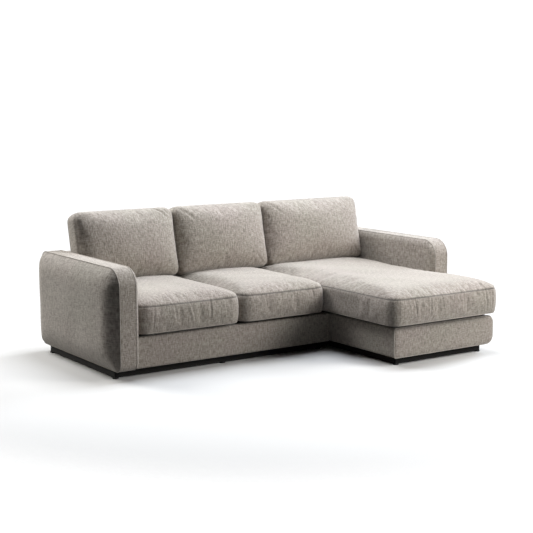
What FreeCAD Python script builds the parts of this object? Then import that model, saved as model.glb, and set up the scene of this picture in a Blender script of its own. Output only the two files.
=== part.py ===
"""Corner sofa: two seats and a chaise on the right, loose cushions, recessed plinth.

Millimetres. +Z is up, the front looks along -Y, the chaise stands at +X.
The origin is on the floor under the middle of the sofa's bounding box.
"""
import FreeCAD, Part
import math
import os

Vector = FreeCAD.Vector

# Turns and small allowances
eighth_turn = 45.0
quarter_turn = 90.0
third_turn = 120.0
half_turn = 180.0
full_turn = 360.0
edge_tolerance = 0.01
cut_margin = 1.0

# Overall sizes
overall_width = 2600.0
body_depth = 1060.0
chaise_projection = 640.0
arm_width = 190.0
arm_height = 648.0
back_height = 622.0
seat_width = 700.0

# Base and plinth
base_bottom = 53.0
deck_top = 240.0
base_setback = 65.0
glide_height = 8.0
glide_diameter = 36.0
glide_sides = 12
plinth_thickness = 22.0
plinth_front_inset = 50.0
plinth_side_inset = 70.0
plinth_arm_inset = 78.0

# Timber frame
board_thickness = 12.0
rail_thickness = 35.0
frame_top = 225.0
centre_rail_height = 85.0
corner_block_leg = 70.0
corner_block_height = 80.0
post_thickness = 30.0
top_rail_thickness = 28.0

# Fixed covers
cover_wall = 9.0
cover_lip = 45.0
cover_edge_radius = 8.0
padded_side_wall = 30.0
chaise_front_crown = 8.0
chaise_front_spread = 30.0
chaise_corner_radius = 50.0
piped_corner_radius = 14.0

# Back rest
back_lean = 13.0
back_top_depth = 115.0
back_setback = 8.0
back_cover_wall = 12.0
back_edge_radius = 30.0

# Arm shape
arm_floor_gap = 0.3
arm_inner_roll = 22.0
arm_inner_spread = 20.0
arm_outer_roll = 60.0
arm_outer_spread = 120.0
arm_seam_draw = 3.0
arm_front_top_radius = 110.0
arm_back_top_radius = 80.0
arm_front_bottom_radius = 50.0
arm_back_bottom_radius = 38.0
arm_inner_wall = 16.0
arm_outer_wall = 44.0
arm_edge_wall = 22.0
arm_member_depth = 40.0

# Webbing
strap_width = 80.0
strap_thickness = 1.5
strap_weave_gap = 0.3
strap_end_margin = 6.0
strap_pitch = 185.0
weave_rise = 3.0
back_strap_count = 3

# Loose cushions
cushion_overhang = 50.0
chaise_side_overhang = 60.0
cushion_side_gap = 1.5
cushion_bottom_roll = 20.0
cushion_bottom_spread = 60.0
cushion_boxing = 154.0
cushion_crown = 52.0
cushion_crown_spread = 190.0
cushion_seam_draw = 5.0
cushion_front_radius = 70.0
cushion_back_radius = 45.0
back_cushion_height = 450.0
back_cushion_rear_roll = 35.0
back_cushion_rear_spread = 30.0
back_cushion_boxing = 100.0
back_cushion_crown = 82.0
back_cushion_crown_spread = 105.0
back_cushion_top_radius = 52.0
back_cushion_bottom_radius = 42.0
back_cushion_foot_height = 426.0
filling_wall = 3.0
filling_clearance = 0.5
soft_face_gap = 0.3
lower_roll_steps = 2
crown_steps = 4

# Places worked out from the sizes above
chaise_width = overall_width - 2.0 * arm_width - 2.0 * seat_width
overall_depth = body_depth - base_setback + chaise_projection + cushion_overhang
inner_left = -overall_width / 2.0 + arm_width
inner_right = overall_width / 2.0 - arm_width
seat_split = inner_left + seat_width
module_split = seat_split + seat_width
back_plane = overall_depth / 2.0
arm_front = back_plane - body_depth
base_front = arm_front + base_setback
chaise_front = base_front - chaise_projection
back_rear = back_plane - back_setback
lean = math.radians(back_lean)
frame_rear = back_rear - back_cover_wall
rail_bottom = base_bottom + board_thickness
lip_bottom = deck_top - cover_wall
seat_frame_front = base_front + cover_wall
chaise_frame_front = chaise_front + chaise_front_crown + cover_wall
chaise_frame_left = module_split + cover_wall
chaise_frame_right = inner_right - padded_side_wall
chaise_cushion_left = module_split - chaise_side_overhang
weave_middle = frame_top + weave_rise


def back_face(height, depth_behind=0.0):
    """Y of the back rest's leaning front face at a height, or of a face behind it."""
    below_top = back_height - height
    front_at_top = back_rear - back_top_depth
    return front_at_top - below_top * math.tan(lean) + depth_behind / math.cos(lean)


# Basic shapes
def block(x0, x1, y0, y1, z0, z1):
    """Straight-sided block between two opposite corners."""
    return Part.makeBox(x1 - x0, y1 - y0, z1 - z0, Vector(x0, y0, z0))


def prism_along_x(outline, x0, x1):
    """Prism from a closed (y, z) outline between two x planes."""
    points = [Vector(x0, y, z) for y, z in outline]
    face = Part.Face(Part.makePolygon(points + points[:1]))
    return face.extrude(Vector(x1 - x0, 0, 0))


def prism_along_y(outline, y0, y1):
    """Prism from a closed (x, z) outline between two y planes."""
    points = [Vector(x, y0, z) for x, z in outline]
    face = Part.Face(Part.makePolygon(points + points[:1]))
    return face.extrude(Vector(0, y1 - y0, 0))


def group(solids):
    """Several separate identical pieces kept side by side in one compound."""
    return Part.makeCompound(solids)


def rounded_outline(width, depth, radii, inset, height):
    """Rounded rectangle wire of four sides and four arcs, drawn in by an inset.

    The radii run front left, front right, back right, back left.
    """
    x0, x1 = inset, width - inset
    y0, y1 = inset, depth - inset
    front_left, front_right, back_right, back_left = radii
    corners = [
        (x0 + front_left, y0 + front_left, front_left),
        (x1 - front_right, y0 + front_right, front_right),
        (x1 - back_right, y1 - back_right, back_right),
        (x0 + back_left, y1 - back_left, back_left),
    ]
    edges = []
    first_point = None
    last_point = None
    start = half_turn
    for centre_x, centre_y, radius in corners:
        points = []
        for turn in (0.0, eighth_turn, quarter_turn):
            angle = math.radians(start + turn)
            x = centre_x + radius * math.cos(angle)
            y = centre_y + radius * math.sin(angle)
            points.append(Vector(x, y, height))
        if last_point is None:
            first_point = points[0]
        else:
            edges.append(Part.makeLine(last_point, points[0]))
        edges.append(Part.Arc(*points).toShape())
        last_point = points[-1]
        start += quarter_turn
    edges.append(Part.makeLine(last_point, first_point))
    return Part.Wire(edges)


def outline_prism(width, depth, radii, inset, z0, z1):
    """Straight prism on a rounded outline whose corners run parallel to the outer ones."""
    inner_radii = [radius - inset for radius in radii]
    wire = rounded_outline(width, depth, inner_radii, inset, z0)
    return Part.Face(wire).extrude(Vector(0, 0, z1 - z0))


def roll_levels(start, rise, inset, spread, steps):
    """Heights and insets of a quarter ellipse that rolls over from a seam to a face."""
    levels = []
    for step in range(steps + 1):
        angle = math.radians(quarter_turn * step / steps)
        height = start + rise * math.sin(angle)
        levels.append((height, inset + spread * (1.0 - math.cos(angle))))
    return levels


def boxed_pad(width, depth, radii, lower, boxing, upper, draw):
    """Soft boxed pad: rolled lower face, bulged boxing drawn in at its seams, upper crown.

    `lower` and `upper` are (rise, spread) of the two rolled faces. Local x and y run
    across the faces and local z through the thickness, from the lower face.
    """
    lower_rise, lower_spread = lower
    upper_rise, upper_spread = upper
    top_seam = lower_rise + boxing
    levels = []
    lower_roll = roll_levels(0.0, lower_rise, draw, lower_spread, lower_roll_steps)
    for height, inset in reversed(lower_roll):
        levels.append((lower_rise - height, inset))
    levels.append((lower_rise + boxing / 2.0, 0.0))
    levels += roll_levels(top_seam, upper_rise, draw, upper_spread, crown_steps)
    wires = []
    for height, inset in levels:
        wires.append(rounded_outline(width, depth, radii, inset, height))
    return Part.makeLoft(wires, True, True)


def place(shape, rotation, position):
    """Copy of a shape, turned and then moved."""
    placed = shape.copy()
    placed.Placement = FreeCAD.Placement(position, rotation).multiply(shape.Placement)
    return placed


def mirror_side(shape):
    """Mirror image of a piece across the middle plane of the sofa."""
    return shape.mirror(Vector(0, 0, 0), Vector(1, 0, 0))


# Plinth and glides
def plinth_rail(x0, x1, y0, y1):
    """One dark plinth board standing on edge under the base."""
    return block(x0, x1, y0, y1, glide_height, base_bottom)


def plinth_frame(left, right, front, back):
    """Front and back boards, and the side boards that fit between them."""
    inner_front = front + plinth_thickness
    inner_back = back - plinth_thickness
    long_boards = group([
        plinth_rail(left, right, front, inner_front),
        plinth_rail(left, right, inner_back, back),
    ])
    side_boards = group([
        plinth_rail(left, left + plinth_thickness, inner_front, inner_back),
        plinth_rail(right - plinth_thickness, right, inner_front, inner_back),
    ])
    return long_boards, side_boards


plinth_back = back_plane - plinth_side_inset
seat_plinth_left = -overall_width / 2.0 + plinth_arm_inset
seat_plinth_front = base_front + plinth_front_inset
chaise_plinth_left = module_split + plinth_front_inset
chaise_plinth_right = inner_right - plinth_side_inset
chaise_plinth_front = chaise_front + plinth_front_inset
arm_plinth_right = overall_width / 2.0 - plinth_arm_inset


def arm_plinth():
    """Board under the right arm and the two short ties that join it to the chaise plinth."""
    inner_face = arm_plinth_right - plinth_thickness
    rail = plinth_rail(inner_face, arm_plinth_right, seat_plinth_front, plinth_back)
    ties = []
    for front in (seat_plinth_front, plinth_back - plinth_thickness):
        ties.append(plinth_rail(chaise_plinth_right, inner_face, front, front + plinth_thickness))
    return rail, group(ties)


def glide(x, y):
    """Low many-sided glide under a plinth board."""
    points = []
    for side in range(glide_sides):
        angle = math.radians(full_turn * side / glide_sides)
        points.append(Vector(
            x + glide_diameter / 2.0 * math.cos(angle),
            y + glide_diameter / 2.0 * math.sin(angle),
            0,
        ))
    return Part.Face(Part.makePolygon(points + points[:1])).extrude(Vector(0, 0, glide_height))


def plinth_glides():
    """Glides under the ends and the middles of the plinth boards."""
    half = plinth_thickness / 2.0
    seat_left = seat_plinth_left + half
    seat_right = module_split - half - glide_diameter
    seat_middle = (seat_left + seat_right) / 2.0
    chaise_left = chaise_plinth_left + half
    chaise_right = chaise_plinth_right - half
    side_middle = (chaise_plinth_front + plinth_back) / 2.0
    places = []
    for y in (seat_plinth_front + half, plinth_back - half):
        places += [(seat_left, y), (seat_middle, y), (seat_right, y)]
        places.append((arm_plinth_right - half, y))
    for y in (chaise_plinth_front + half, side_middle, plinth_back - half):
        places += [(chaise_left, y), (chaise_right, y)]
    return group([glide(x, y) for x, y in places])


# Base frames
def corner_block(x, y, toward_x, toward_y):
    """Triangular glue block in the corner of two rails."""
    points = [
        Vector(x, y, rail_bottom),
        Vector(x + toward_x * corner_block_leg, y, rail_bottom),
        Vector(x, y + toward_y * corner_block_leg, rail_bottom),
    ]
    face = Part.Face(Part.makePolygon(points + points[:1]))
    return face.extrude(Vector(0, 0, corner_block_height))


deck_back = back_face(deck_top)


def base_frame(left, right, front):
    """Timber frame of one module: front rail, two end rails, two back rails, corner blocks."""
    rail_front_back = front + rail_thickness
    inside_left = left + rail_thickness
    inside_right = right - rail_thickness
    deck_rail_back = deck_back + rail_thickness
    front_rail = block(left, right, front, rail_front_back, rail_bottom, frame_top)
    end_rails = []
    for x in (left, inside_right):
        end_rails.append(
            block(x, x + rail_thickness, rail_front_back, frame_rear, rail_bottom, frame_top)
        )
    back_rails = []
    for y in (deck_back, frame_rear - rail_thickness):
        back_rails.append(
            block(inside_left, inside_right, y, y + rail_thickness, rail_bottom, frame_top)
        )
    blocks = group([
        corner_block(inside_left, rail_front_back, 1, 1),
        corner_block(inside_right, rail_front_back, -1, 1),
        corner_block(inside_left, deck_back, 1, -1),
        corner_block(inside_right, deck_back, -1, -1),
    ])
    return front_rail, end_rails, back_rails, blocks


def seat_base_board():
    """Plywood board that closes the seat base underneath."""
    return block(inner_left, module_split, seat_frame_front, frame_rear, base_bottom, rail_bottom)


chaise_board_left = module_split + piped_corner_radius
chaise_board_right = inner_right - chaise_corner_radius


def chaise_base_board():
    """Plywood board that closes the chaise base underneath."""
    return block(
        chaise_board_left, chaise_board_right,
        chaise_frame_front, frame_rear, base_bottom, rail_bottom,
    )


def seat_centre_rail():
    """Dropped rail from front to back under the middle of the seat webbing."""
    middle = (inner_left + module_split) / 2.0
    return block(
        middle - rail_thickness / 2.0, middle + rail_thickness / 2.0,
        seat_frame_front + rail_thickness, deck_back,
        rail_bottom, rail_bottom + centre_rail_height,
    )


def chaise_centre_rail():
    """Dropped rail from side to side under the middle of the chaise webbing."""
    middle = (chaise_frame_front + deck_back) / 2.0
    return block(
        chaise_frame_left + rail_thickness, chaise_frame_right - rail_thickness,
        middle - rail_thickness / 2.0, middle + rail_thickness / 2.0,
        rail_bottom, rail_bottom + centre_rail_height,
    )


# Woven webbing
def strap_centres(start, end):
    """Evenly spaced strap centres between two rails."""
    count = int((end - start) // strap_pitch)
    pitch = (end - start) / count
    first = start + pitch / 2.0
    return [first + pitch * index for index in range(count)]


def woven_strap(start, end, crossings, first_over):
    """Side outline of a strap that runs over and under the straps it crosses.

    Returns (along, height) points, first the upper edge and then the lower edge back.
    The ends lie on top of the rails.
    """
    half_gap = strap_weave_gap / 2.0
    flat = strap_width / 2.0 + strap_end_margin
    lower = [(start, frame_top), (start + rail_thickness, frame_top)]
    over = first_over
    for centre in crossings:
        under_height = weave_middle - half_gap - strap_thickness
        over_height = weave_middle + half_gap
        height = over_height if over else under_height
        lower.append((centre - flat, height))
        lower.append((centre + flat, height))
        over = not over
    lower += [(end - rail_thickness, frame_top), (end, frame_top)]
    upper = [(along, height + strap_thickness) for along, height in lower]
    return upper + lower[::-1]


def webbing(left, right, front, back):
    """Elastic straps front to back, woven through straps from side to side."""
    along_x = strap_centres(left + rail_thickness, right - rail_thickness)
    along_y = strap_centres(front + rail_thickness, back - rail_thickness)
    half = strap_width / 2.0
    lengthwise = []
    for index, x in enumerate(along_x):
        outline = woven_strap(front, back, along_y, index % 2 == 0)
        lengthwise.append(prism_along_x(outline, x - half, x + half))
    crosswise = []
    for index, y in enumerate(along_y):
        outline = woven_strap(left, right, along_x, index % 2 == 1)
        crosswise.append(prism_along_y(outline, y - half, y + half))
    return group(lengthwise), group(crosswise)


# Deck pads and base covers
def seat_deck_pad():
    """Felt-lined platform cloth over the seat webbing, between the cover lip and the back."""
    return block(
        inner_left, module_split, base_front + cover_lip, back_face(lip_bottom),
        lip_bottom, deck_top,
    )


chaise_deck_left = module_split + cover_lip
chaise_deck_right = inner_right - padded_side_wall - cover_lip
chaise_deck_front = chaise_frame_front + cover_lip


def chaise_deck_pad():
    """Felt-lined platform cloth inside the rim of the chaise cover."""
    return block(
        chaise_deck_left, chaise_deck_right, chaise_deck_front, back_face(lip_bottom),
        lip_bottom, deck_top,
    )


def fillet_long_edges(solid, length, height, radius, test):
    """Round the long top edges of an extrusion whose depth passes a test."""
    chosen = []
    for edge in solid.Edges:
        box = edge.BoundBox
        is_long = box.XLength > length - edge_tolerance
        above = box.ZMin > height - edge_tolerance
        if is_long and above and test(edge.CenterOfMass.y):
            chosen.append(edge)
    return solid.makeFillet(radius, chosen)


def seat_base_cover():
    """Upholstered front border of the seat base with its lip on the deck."""
    inner = base_front + cover_wall
    lip_end = base_front + cover_lip
    outline = [
        (base_front, base_bottom),
        (base_front, deck_top),
        (lip_end, deck_top),
        (lip_end, lip_bottom),
        (inner, lip_bottom),
        (inner, base_bottom),
    ]
    solid = prism_along_x(outline, inner_left, module_split)
    length = module_split - inner_left
    return fillet_long_edges(
        solid, length, deck_top, cover_edge_radius, lambda y: y < inner
    )


chaise_radii = [
    piped_corner_radius,
    chaise_corner_radius,
    chaise_corner_radius,
    piped_corner_radius,
]


def chaise_base_cover():
    """Chaise base cover: piped front panel, wrap-round border, lips on the deck.

    The front panel has a sharp piped left edge and softly rounded right corners.
    """
    height = deck_top - base_bottom
    rear = back_face(lip_bottom)
    length = rear - (chaise_front + chaise_front_crown)
    band_wire = rounded_outline(chaise_width, height, chaise_radii, 0.0, 0.0)
    band = Part.Face(band_wire).extrude(Vector(0, 0, length))
    wires = []
    for level, inset in roll_levels(
        length, chaise_front_crown, 0.0, chaise_front_spread, lower_roll_steps
    ):
        wires.append(rounded_outline(chaise_width, height, chaise_radii, inset, level))
    panel = Part.makeLoft(wires, True, True)
    toward_front = FreeCAD.Rotation(Vector(1, 0, 0), quarter_turn)
    outer = place(band.fuse(panel), toward_front, Vector(module_split, rear, base_bottom))
    behind = rear + cut_margin
    rail_room = block(
        chaise_frame_left, chaise_frame_right, chaise_frame_front, behind,
        rail_bottom, lip_bottom,
    )
    board_room = block(
        chaise_board_left, chaise_board_right, chaise_frame_front, behind,
        base_bottom - cut_margin, rail_bottom,
    )
    deck_room = block(
        chaise_deck_left, chaise_deck_right, chaise_deck_front, behind,
        lip_bottom, deck_top + cut_margin,
    )
    return outer.cut(rail_room).cut(board_room).cut(deck_room)


# Back rest
def back_posts(centres):
    """Shaped plywood posts with a leaning front edge, standing on the two back rails."""
    top = back_height - back_cover_wall - top_rail_thickness
    behind = back_cover_wall + strap_thickness + soft_face_gap
    outline = [
        (back_face(frame_top, behind), frame_top),
        (back_face(top, behind), top),
        (frame_rear, top),
        (frame_rear, frame_top),
    ]
    half = post_thickness / 2.0
    return group([prism_along_x(outline, x - half, x + half) for x in centres])


def back_top_rail(left, right):
    """Rail on top of the back posts."""
    top = back_height - back_cover_wall
    bottom = top - top_rail_thickness
    behind = back_cover_wall + strap_thickness + soft_face_gap
    outline = [
        (back_face(bottom, behind), bottom),
        (back_face(top, behind), top),
        (frame_rear, top),
        (frame_rear, bottom),
    ]
    return prism_along_x(outline, left, right)


def back_webbing(left, right):
    """Elastic straps from side to side on the leaning front edges of the posts."""
    straps = []
    behind = back_cover_wall + soft_face_gap
    usable_bottom = deck_top + strap_end_margin
    usable_top = back_height - back_cover_wall - top_rail_thickness
    pitch = (usable_top - usable_bottom) / back_strap_count
    first = usable_bottom + pitch / 2.0
    for index in range(back_strap_count):
        middle = first + pitch * index
        low = middle - strap_width / 2.0
        high = middle + strap_width / 2.0
        outline = [
            (back_face(low, behind), low),
            (back_face(high, behind), high),
            (back_face(high, behind + strap_thickness), high),
            (back_face(low, behind + strap_thickness), low),
        ]
        straps.append(prism_along_x(outline, left, right))
    return group(straps)


def back_cover(left, right, room_left, room_right):
    """Padded cover over the back frame: leaning front, rounded top, straight back.

    It is open underneath, and closed at an end where its room stops short of it.
    """
    inner_top = back_height - back_cover_wall
    outline = [
        (back_face(lip_bottom), lip_bottom),
        (back_face(back_height), back_height),
        (back_rear, back_height),
        (back_rear, base_bottom),
        (frame_rear, base_bottom),
        (frame_rear, lip_bottom),
    ]
    solid = fillet_long_edges(
        prism_along_x(outline, left, right), right - left, back_height, back_edge_radius,
        lambda y: True,
    )
    room_bottom = lip_bottom - cut_margin
    room_outline = [
        (back_face(room_bottom, back_cover_wall), room_bottom),
        (back_face(inner_top, back_cover_wall), inner_top),
        (frame_rear, inner_top),
        (frame_rear, room_bottom),
    ]
    return solid.cut(prism_along_x(room_outline, room_left, room_right))


# Arms
arm_radii = [
    arm_front_bottom_radius,
    arm_back_bottom_radius,
    arm_back_top_radius,
    arm_front_top_radius,
]
arm_bottom = base_bottom + arm_floor_gap
arm_tall = arm_height - arm_bottom
toward_right = FreeCAD.Rotation(Vector(1, 1, 1), third_turn)
arm_corner = Vector(inner_right, arm_front, arm_bottom)


def arm_room_outline(inset, near, far):
    """Prism inside the arm on an outline parallel to the arm's own."""
    shape = outline_prism(body_depth, arm_tall, arm_radii, inset, near, far)
    return place(shape, toward_right, arm_corner)


def arm_cover():
    """Right arm's padded cover: crowned outer panel, border all round, inner panel."""
    boxing = arm_width - arm_inner_roll - arm_outer_roll
    pad = boxed_pad(
        body_depth, arm_tall, arm_radii,
        (arm_inner_roll, arm_inner_spread), boxing,
        (arm_outer_roll, arm_outer_spread), arm_seam_draw,
    )
    pad = place(pad, toward_right, arm_corner)
    room = arm_room_outline(arm_edge_wall, arm_inner_wall, arm_width - arm_outer_wall)
    return pad.cut(room)


def arm_boards():
    """Two plywood boards that give the arm its rounded outline."""
    inset = arm_edge_wall + filling_clearance
    inner_end = arm_inner_wall + board_thickness
    outer_start = arm_width - arm_outer_wall - board_thickness
    inner = arm_room_outline(inset, arm_inner_wall, inner_end)
    outer = arm_room_outline(inset, outer_start, arm_width - arm_outer_wall)
    return group([inner, outer])


def arm_posts_and_rails():
    """Two posts and two rails that keep the arm boards apart."""
    x0 = inner_right + arm_inner_wall + board_thickness
    x1 = inner_right + arm_width - arm_outer_wall - board_thickness
    room_bottom = arm_bottom + arm_edge_wall + filling_clearance
    room_top = arm_height - arm_edge_wall - filling_clearance
    rail_start = arm_front + arm_front_top_radius
    rail_end = back_plane - arm_back_top_radius
    post_bottom = room_bottom + arm_member_depth
    post_top = room_top - arm_member_depth
    rails = group([
        block(x0, x1, rail_start, rail_end, room_bottom, post_bottom),
        block(x0, x1, rail_start, rail_end, post_top, room_top),
    ])
    posts = []
    for y in (rail_start, rail_end - arm_member_depth):
        posts.append(block(x0, x1, y, y + arm_member_depth, post_bottom, post_top))
    return group(posts), rails


# Loose cushions
def filling_block(width, depth, corner_radius, z0, z1, clearance):
    """Square-edged foam block whose corners stay inside the cover's rounded corners."""
    corner_cut = corner_radius * (1.0 - math.cos(math.radians(eighth_turn)))
    margin = cushion_seam_draw + corner_cut + filling_wall + clearance
    return block(margin, width - margin, margin, depth - margin, z0, z1)


def seat_cushion(left, right, front):
    """Crowned boxed seat cushion between two sides, from its front edge to the back rest."""
    x0 = left + cushion_side_gap
    width = right - cushion_side_gap - x0
    depth = deck_back - soft_face_gap - front
    radii = [cushion_front_radius] * 2 + [cushion_back_radius] * 2
    pad = boxed_pad(
        width, depth, radii,
        (cushion_bottom_roll, cushion_bottom_spread), cushion_boxing,
        (cushion_crown, cushion_crown_spread), cushion_seam_draw,
    )
    foam_bottom = cushion_bottom_roll
    foam_top = cushion_bottom_roll + cushion_boxing
    room = filling_block(width, depth, cushion_front_radius, foam_bottom, foam_top, 0.0)
    foam = filling_block(
        width, depth, cushion_front_radius,
        foam_bottom, foam_top - filling_clearance, filling_clearance,
    )
    corner = Vector(x0, front, deck_top)
    upright = FreeCAD.Rotation()
    return place(pad.cut(room), upright, corner), place(foam, upright, corner)


def back_cushion(left, right):
    """Crowned boxed back cushion that leans on the back rest."""
    x0 = left + cushion_side_gap
    width = right - cushion_side_gap - x0
    radii = [back_cushion_bottom_radius] * 2 + [back_cushion_top_radius] * 2
    pad = boxed_pad(
        width, back_cushion_height, radii,
        (back_cushion_rear_roll, back_cushion_rear_spread), back_cushion_boxing,
        (back_cushion_crown, back_cushion_crown_spread), cushion_seam_draw,
    )
    fill_back = back_cushion_rear_roll
    fill_front = back_cushion_rear_roll + back_cushion_boxing
    tall = back_cushion_height
    room = filling_block(width, tall, back_cushion_top_radius, fill_back, fill_front, 0.0)
    fill = filling_block(
        width, tall, back_cushion_top_radius,
        fill_back, fill_front - filling_clearance, filling_clearance,
    )
    leaning = FreeCAD.Rotation(Vector(1, 0, 0), quarter_turn - back_lean)
    foot_y = back_face(back_cushion_foot_height) - soft_face_gap / math.cos(lean)
    foot = Vector(x0, foot_y, back_cushion_foot_height)
    return place(pad.cut(room), leaning, foot), place(fill, leaning, foot)


# All the nodes
def build():
    """Dictionary of every node's shape."""
    nodes = {}

    seat_long, seat_side = plinth_frame(
        seat_plinth_left, module_split, seat_plinth_front, plinth_back
    )
    chaise_long, chaise_side = plinth_frame(
        chaise_plinth_left, chaise_plinth_right, chaise_plinth_front, plinth_back
    )
    arm_rail, arm_ties = arm_plinth()
    nodes["seat_plinth_long_boards"] = seat_long
    nodes["seat_plinth_side_boards"] = seat_side
    nodes["chaise_plinth_end_boards"] = chaise_long
    nodes["chaise_plinth_side_boards"] = chaise_side
    nodes["right_arm_plinth_board"] = arm_rail
    nodes["right_arm_plinth_ties"] = arm_ties
    nodes["plinth_glides"] = plinth_glides()

    front, ends, backs, blocks = base_frame(inner_left, module_split, seat_frame_front)
    nodes["seat_base_board"] = seat_base_board()
    nodes["seat_front_rail"] = front
    nodes["seat_end_rails"] = group(ends)
    nodes["seat_back_rails"] = group(backs)
    nodes["seat_centre_rail"] = seat_centre_rail()
    nodes["seat_corner_blocks"] = blocks

    front, ends, backs, blocks = base_frame(
        chaise_frame_left, chaise_frame_right, chaise_frame_front
    )
    nodes["chaise_base_board"] = chaise_base_board()
    nodes["chaise_front_rail"] = front
    nodes["chaise_side_rails"] = group(ends)
    nodes["chaise_back_rails"] = group(backs)
    nodes["chaise_centre_rail"] = chaise_centre_rail()
    nodes["chaise_corner_blocks"] = blocks

    strap_back = back_face(frame_top, back_cover_wall) - strap_end_margin
    lengthwise, crosswise = webbing(
        inner_left, module_split, seat_frame_front, strap_back
    )
    nodes["seat_webbing_front_to_back"] = lengthwise
    nodes["seat_webbing_side_to_side"] = crosswise
    lengthwise, crosswise = webbing(
        chaise_frame_left, chaise_frame_right, chaise_frame_front, strap_back
    )
    nodes["chaise_webbing_front_to_back"] = lengthwise
    nodes["chaise_webbing_side_to_side"] = crosswise

    nodes["seat_deck_pad"] = seat_deck_pad()
    nodes["chaise_deck_pad"] = chaise_deck_pad()
    nodes["seat_base_cover"] = seat_base_cover()
    nodes["chaise_base_cover"] = chaise_base_cover()

    half_post = post_thickness / 2.0
    back_left = inner_left + back_cover_wall
    seat_posts = [back_left + half_post, seat_split, module_split - half_post]
    nodes["seat_back_posts"] = back_posts(seat_posts)
    nodes["seat_back_top_rail"] = back_top_rail(back_left, module_split)
    nodes["seat_back_webbing"] = back_webbing(back_left, module_split)
    nodes["seat_back_cover"] = back_cover(
        inner_left, module_split, back_left, module_split + cut_margin
    )
    chaise_posts = [chaise_frame_left + half_post, chaise_frame_right - half_post]
    nodes["chaise_back_posts"] = back_posts(chaise_posts)
    nodes["chaise_back_top_rail"] = back_top_rail(chaise_frame_left, chaise_frame_right)
    nodes["chaise_back_webbing"] = back_webbing(chaise_frame_left, chaise_frame_right)
    nodes["chaise_back_cover"] = back_cover(
        module_split, inner_right, module_split - cut_margin, chaise_frame_right
    )

    arm = {"arm_cover": arm_cover(), "arm_boards": arm_boards()}
    arm["arm_posts"], arm["arm_rails"] = arm_posts_and_rails()
    for name, shape in arm.items():
        nodes["right_" + name] = shape
        nodes["left_" + name] = mirror_side(shape)

    seat_front = base_front - cushion_overhang
    loose = {
        "left_seat_cushion": seat_cushion(inner_left, seat_split, seat_front),
        "middle_seat_cushion": seat_cushion(seat_split, chaise_cushion_left, seat_front),
        "chaise_cushion": seat_cushion(
            chaise_cushion_left, inner_right, chaise_front - cushion_overhang
        ),
        "left_back_cushion": back_cushion(inner_left, seat_split),
        "middle_back_cushion": back_cushion(seat_split, module_split),
        "right_back_cushion": back_cushion(module_split, inner_right),
    }
    for name, (cover, core) in loose.items():
        nodes[name + "_cover"] = cover
        nodes[name + "_filling"] = core
    return nodes


os.makedirs("parts", exist_ok=True)
for node_name, node_shape in build().items():
    node_shape.exportStep("parts/" + node_name + ".step")
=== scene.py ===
"""Looks of the corner sofa: cloth, cushions, timber, plinth, floor, lights and camera.

Metres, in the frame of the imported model: +Z is up, the front looks along -Y and the
chaise stands at +X. Every upholstered piece is a surface worked out on a grid and laid
over its own plain solid. The timber, webbing and plinth keep their solids and get their
finishes here.
"""
import logging
import math
from collections.abc import Iterable
from dataclasses import dataclass, field
from enum import Enum

import bpy
import numpy as np
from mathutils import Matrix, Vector
from numpy.typing import NDArray


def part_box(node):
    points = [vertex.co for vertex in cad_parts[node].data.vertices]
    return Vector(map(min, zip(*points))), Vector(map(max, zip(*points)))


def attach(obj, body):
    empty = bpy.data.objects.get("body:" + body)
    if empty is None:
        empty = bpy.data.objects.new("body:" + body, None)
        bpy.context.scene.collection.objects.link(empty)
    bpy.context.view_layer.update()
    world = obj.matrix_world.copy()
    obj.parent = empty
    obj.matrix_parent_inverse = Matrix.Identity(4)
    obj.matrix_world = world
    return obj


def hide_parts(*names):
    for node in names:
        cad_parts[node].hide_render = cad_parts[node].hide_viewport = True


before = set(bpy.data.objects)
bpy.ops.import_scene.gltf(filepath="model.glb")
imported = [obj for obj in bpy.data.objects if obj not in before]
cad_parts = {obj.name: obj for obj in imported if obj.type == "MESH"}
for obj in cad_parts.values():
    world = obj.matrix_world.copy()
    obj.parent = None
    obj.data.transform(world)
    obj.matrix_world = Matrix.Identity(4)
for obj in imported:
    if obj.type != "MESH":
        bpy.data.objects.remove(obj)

Array = NDArray[np.float64]
Indices = NDArray[np.int64]
Triple = tuple[float, float, float]
Socket = bpy.types.NodeSocket
Material = bpy.types.Material
Piece = bpy.types.Object
logger = logging.getLogger("corner_sofa")

# Sizes shared with the solids
INNER_LEFT = -1.110
INNER_RIGHT = 1.110
SEAT_SPLIT = -0.410
MODULE_SPLIT = 0.290
CHAISE_CUSHION_LEFT = 0.230
ARM_FRONT = -0.2175
SEAT_FRONT = -0.2025
CHAISE_FRONT = -0.8425
DECK_TOP = 0.240
LIP_BOTTOM = 0.231
BASE_BOTTOM = 0.053
BASE_FRONT = -0.1525
CHAISE_BASE_FRONT = -0.7925
BACK_TOP = 0.622
BACK_REAR = 0.8345
BACK_TOP_DEPTH = 0.115
LEAN = math.radians(13.0)
SIDE_GAP = 0.0015
BACK_GAP = 0.0003

FULL_TURN = 2.0 * math.pi
TINY = 1e-9
# Part of half a sine wave that a crease's depth follows from its start to its end
FADE_START = 0.12
FADE_SPAN = 0.8
# How far the cloth coordinates move from one seed to the next
CLOTH_STEPS = (0.37, 0.21)
# Distance inside the seam that sets how strong a band's puckers are
PUCKER_DEPTH_IN = 0.020
# A wrapped cover's ends: places of the first columns, length and depth of the rounding
END_COLUMNS = (0.003, 0.008, 0.016)
END_EASE = 0.008
END_ROUNDING = 0.003
# An end panel's rings as shares of its outline, and the steps of its lower edge
PANEL_RINGS = (1.0, 0.97, 0.8, 0.5, 0.2, 0.02)
PANEL_STEPS = 23
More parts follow.
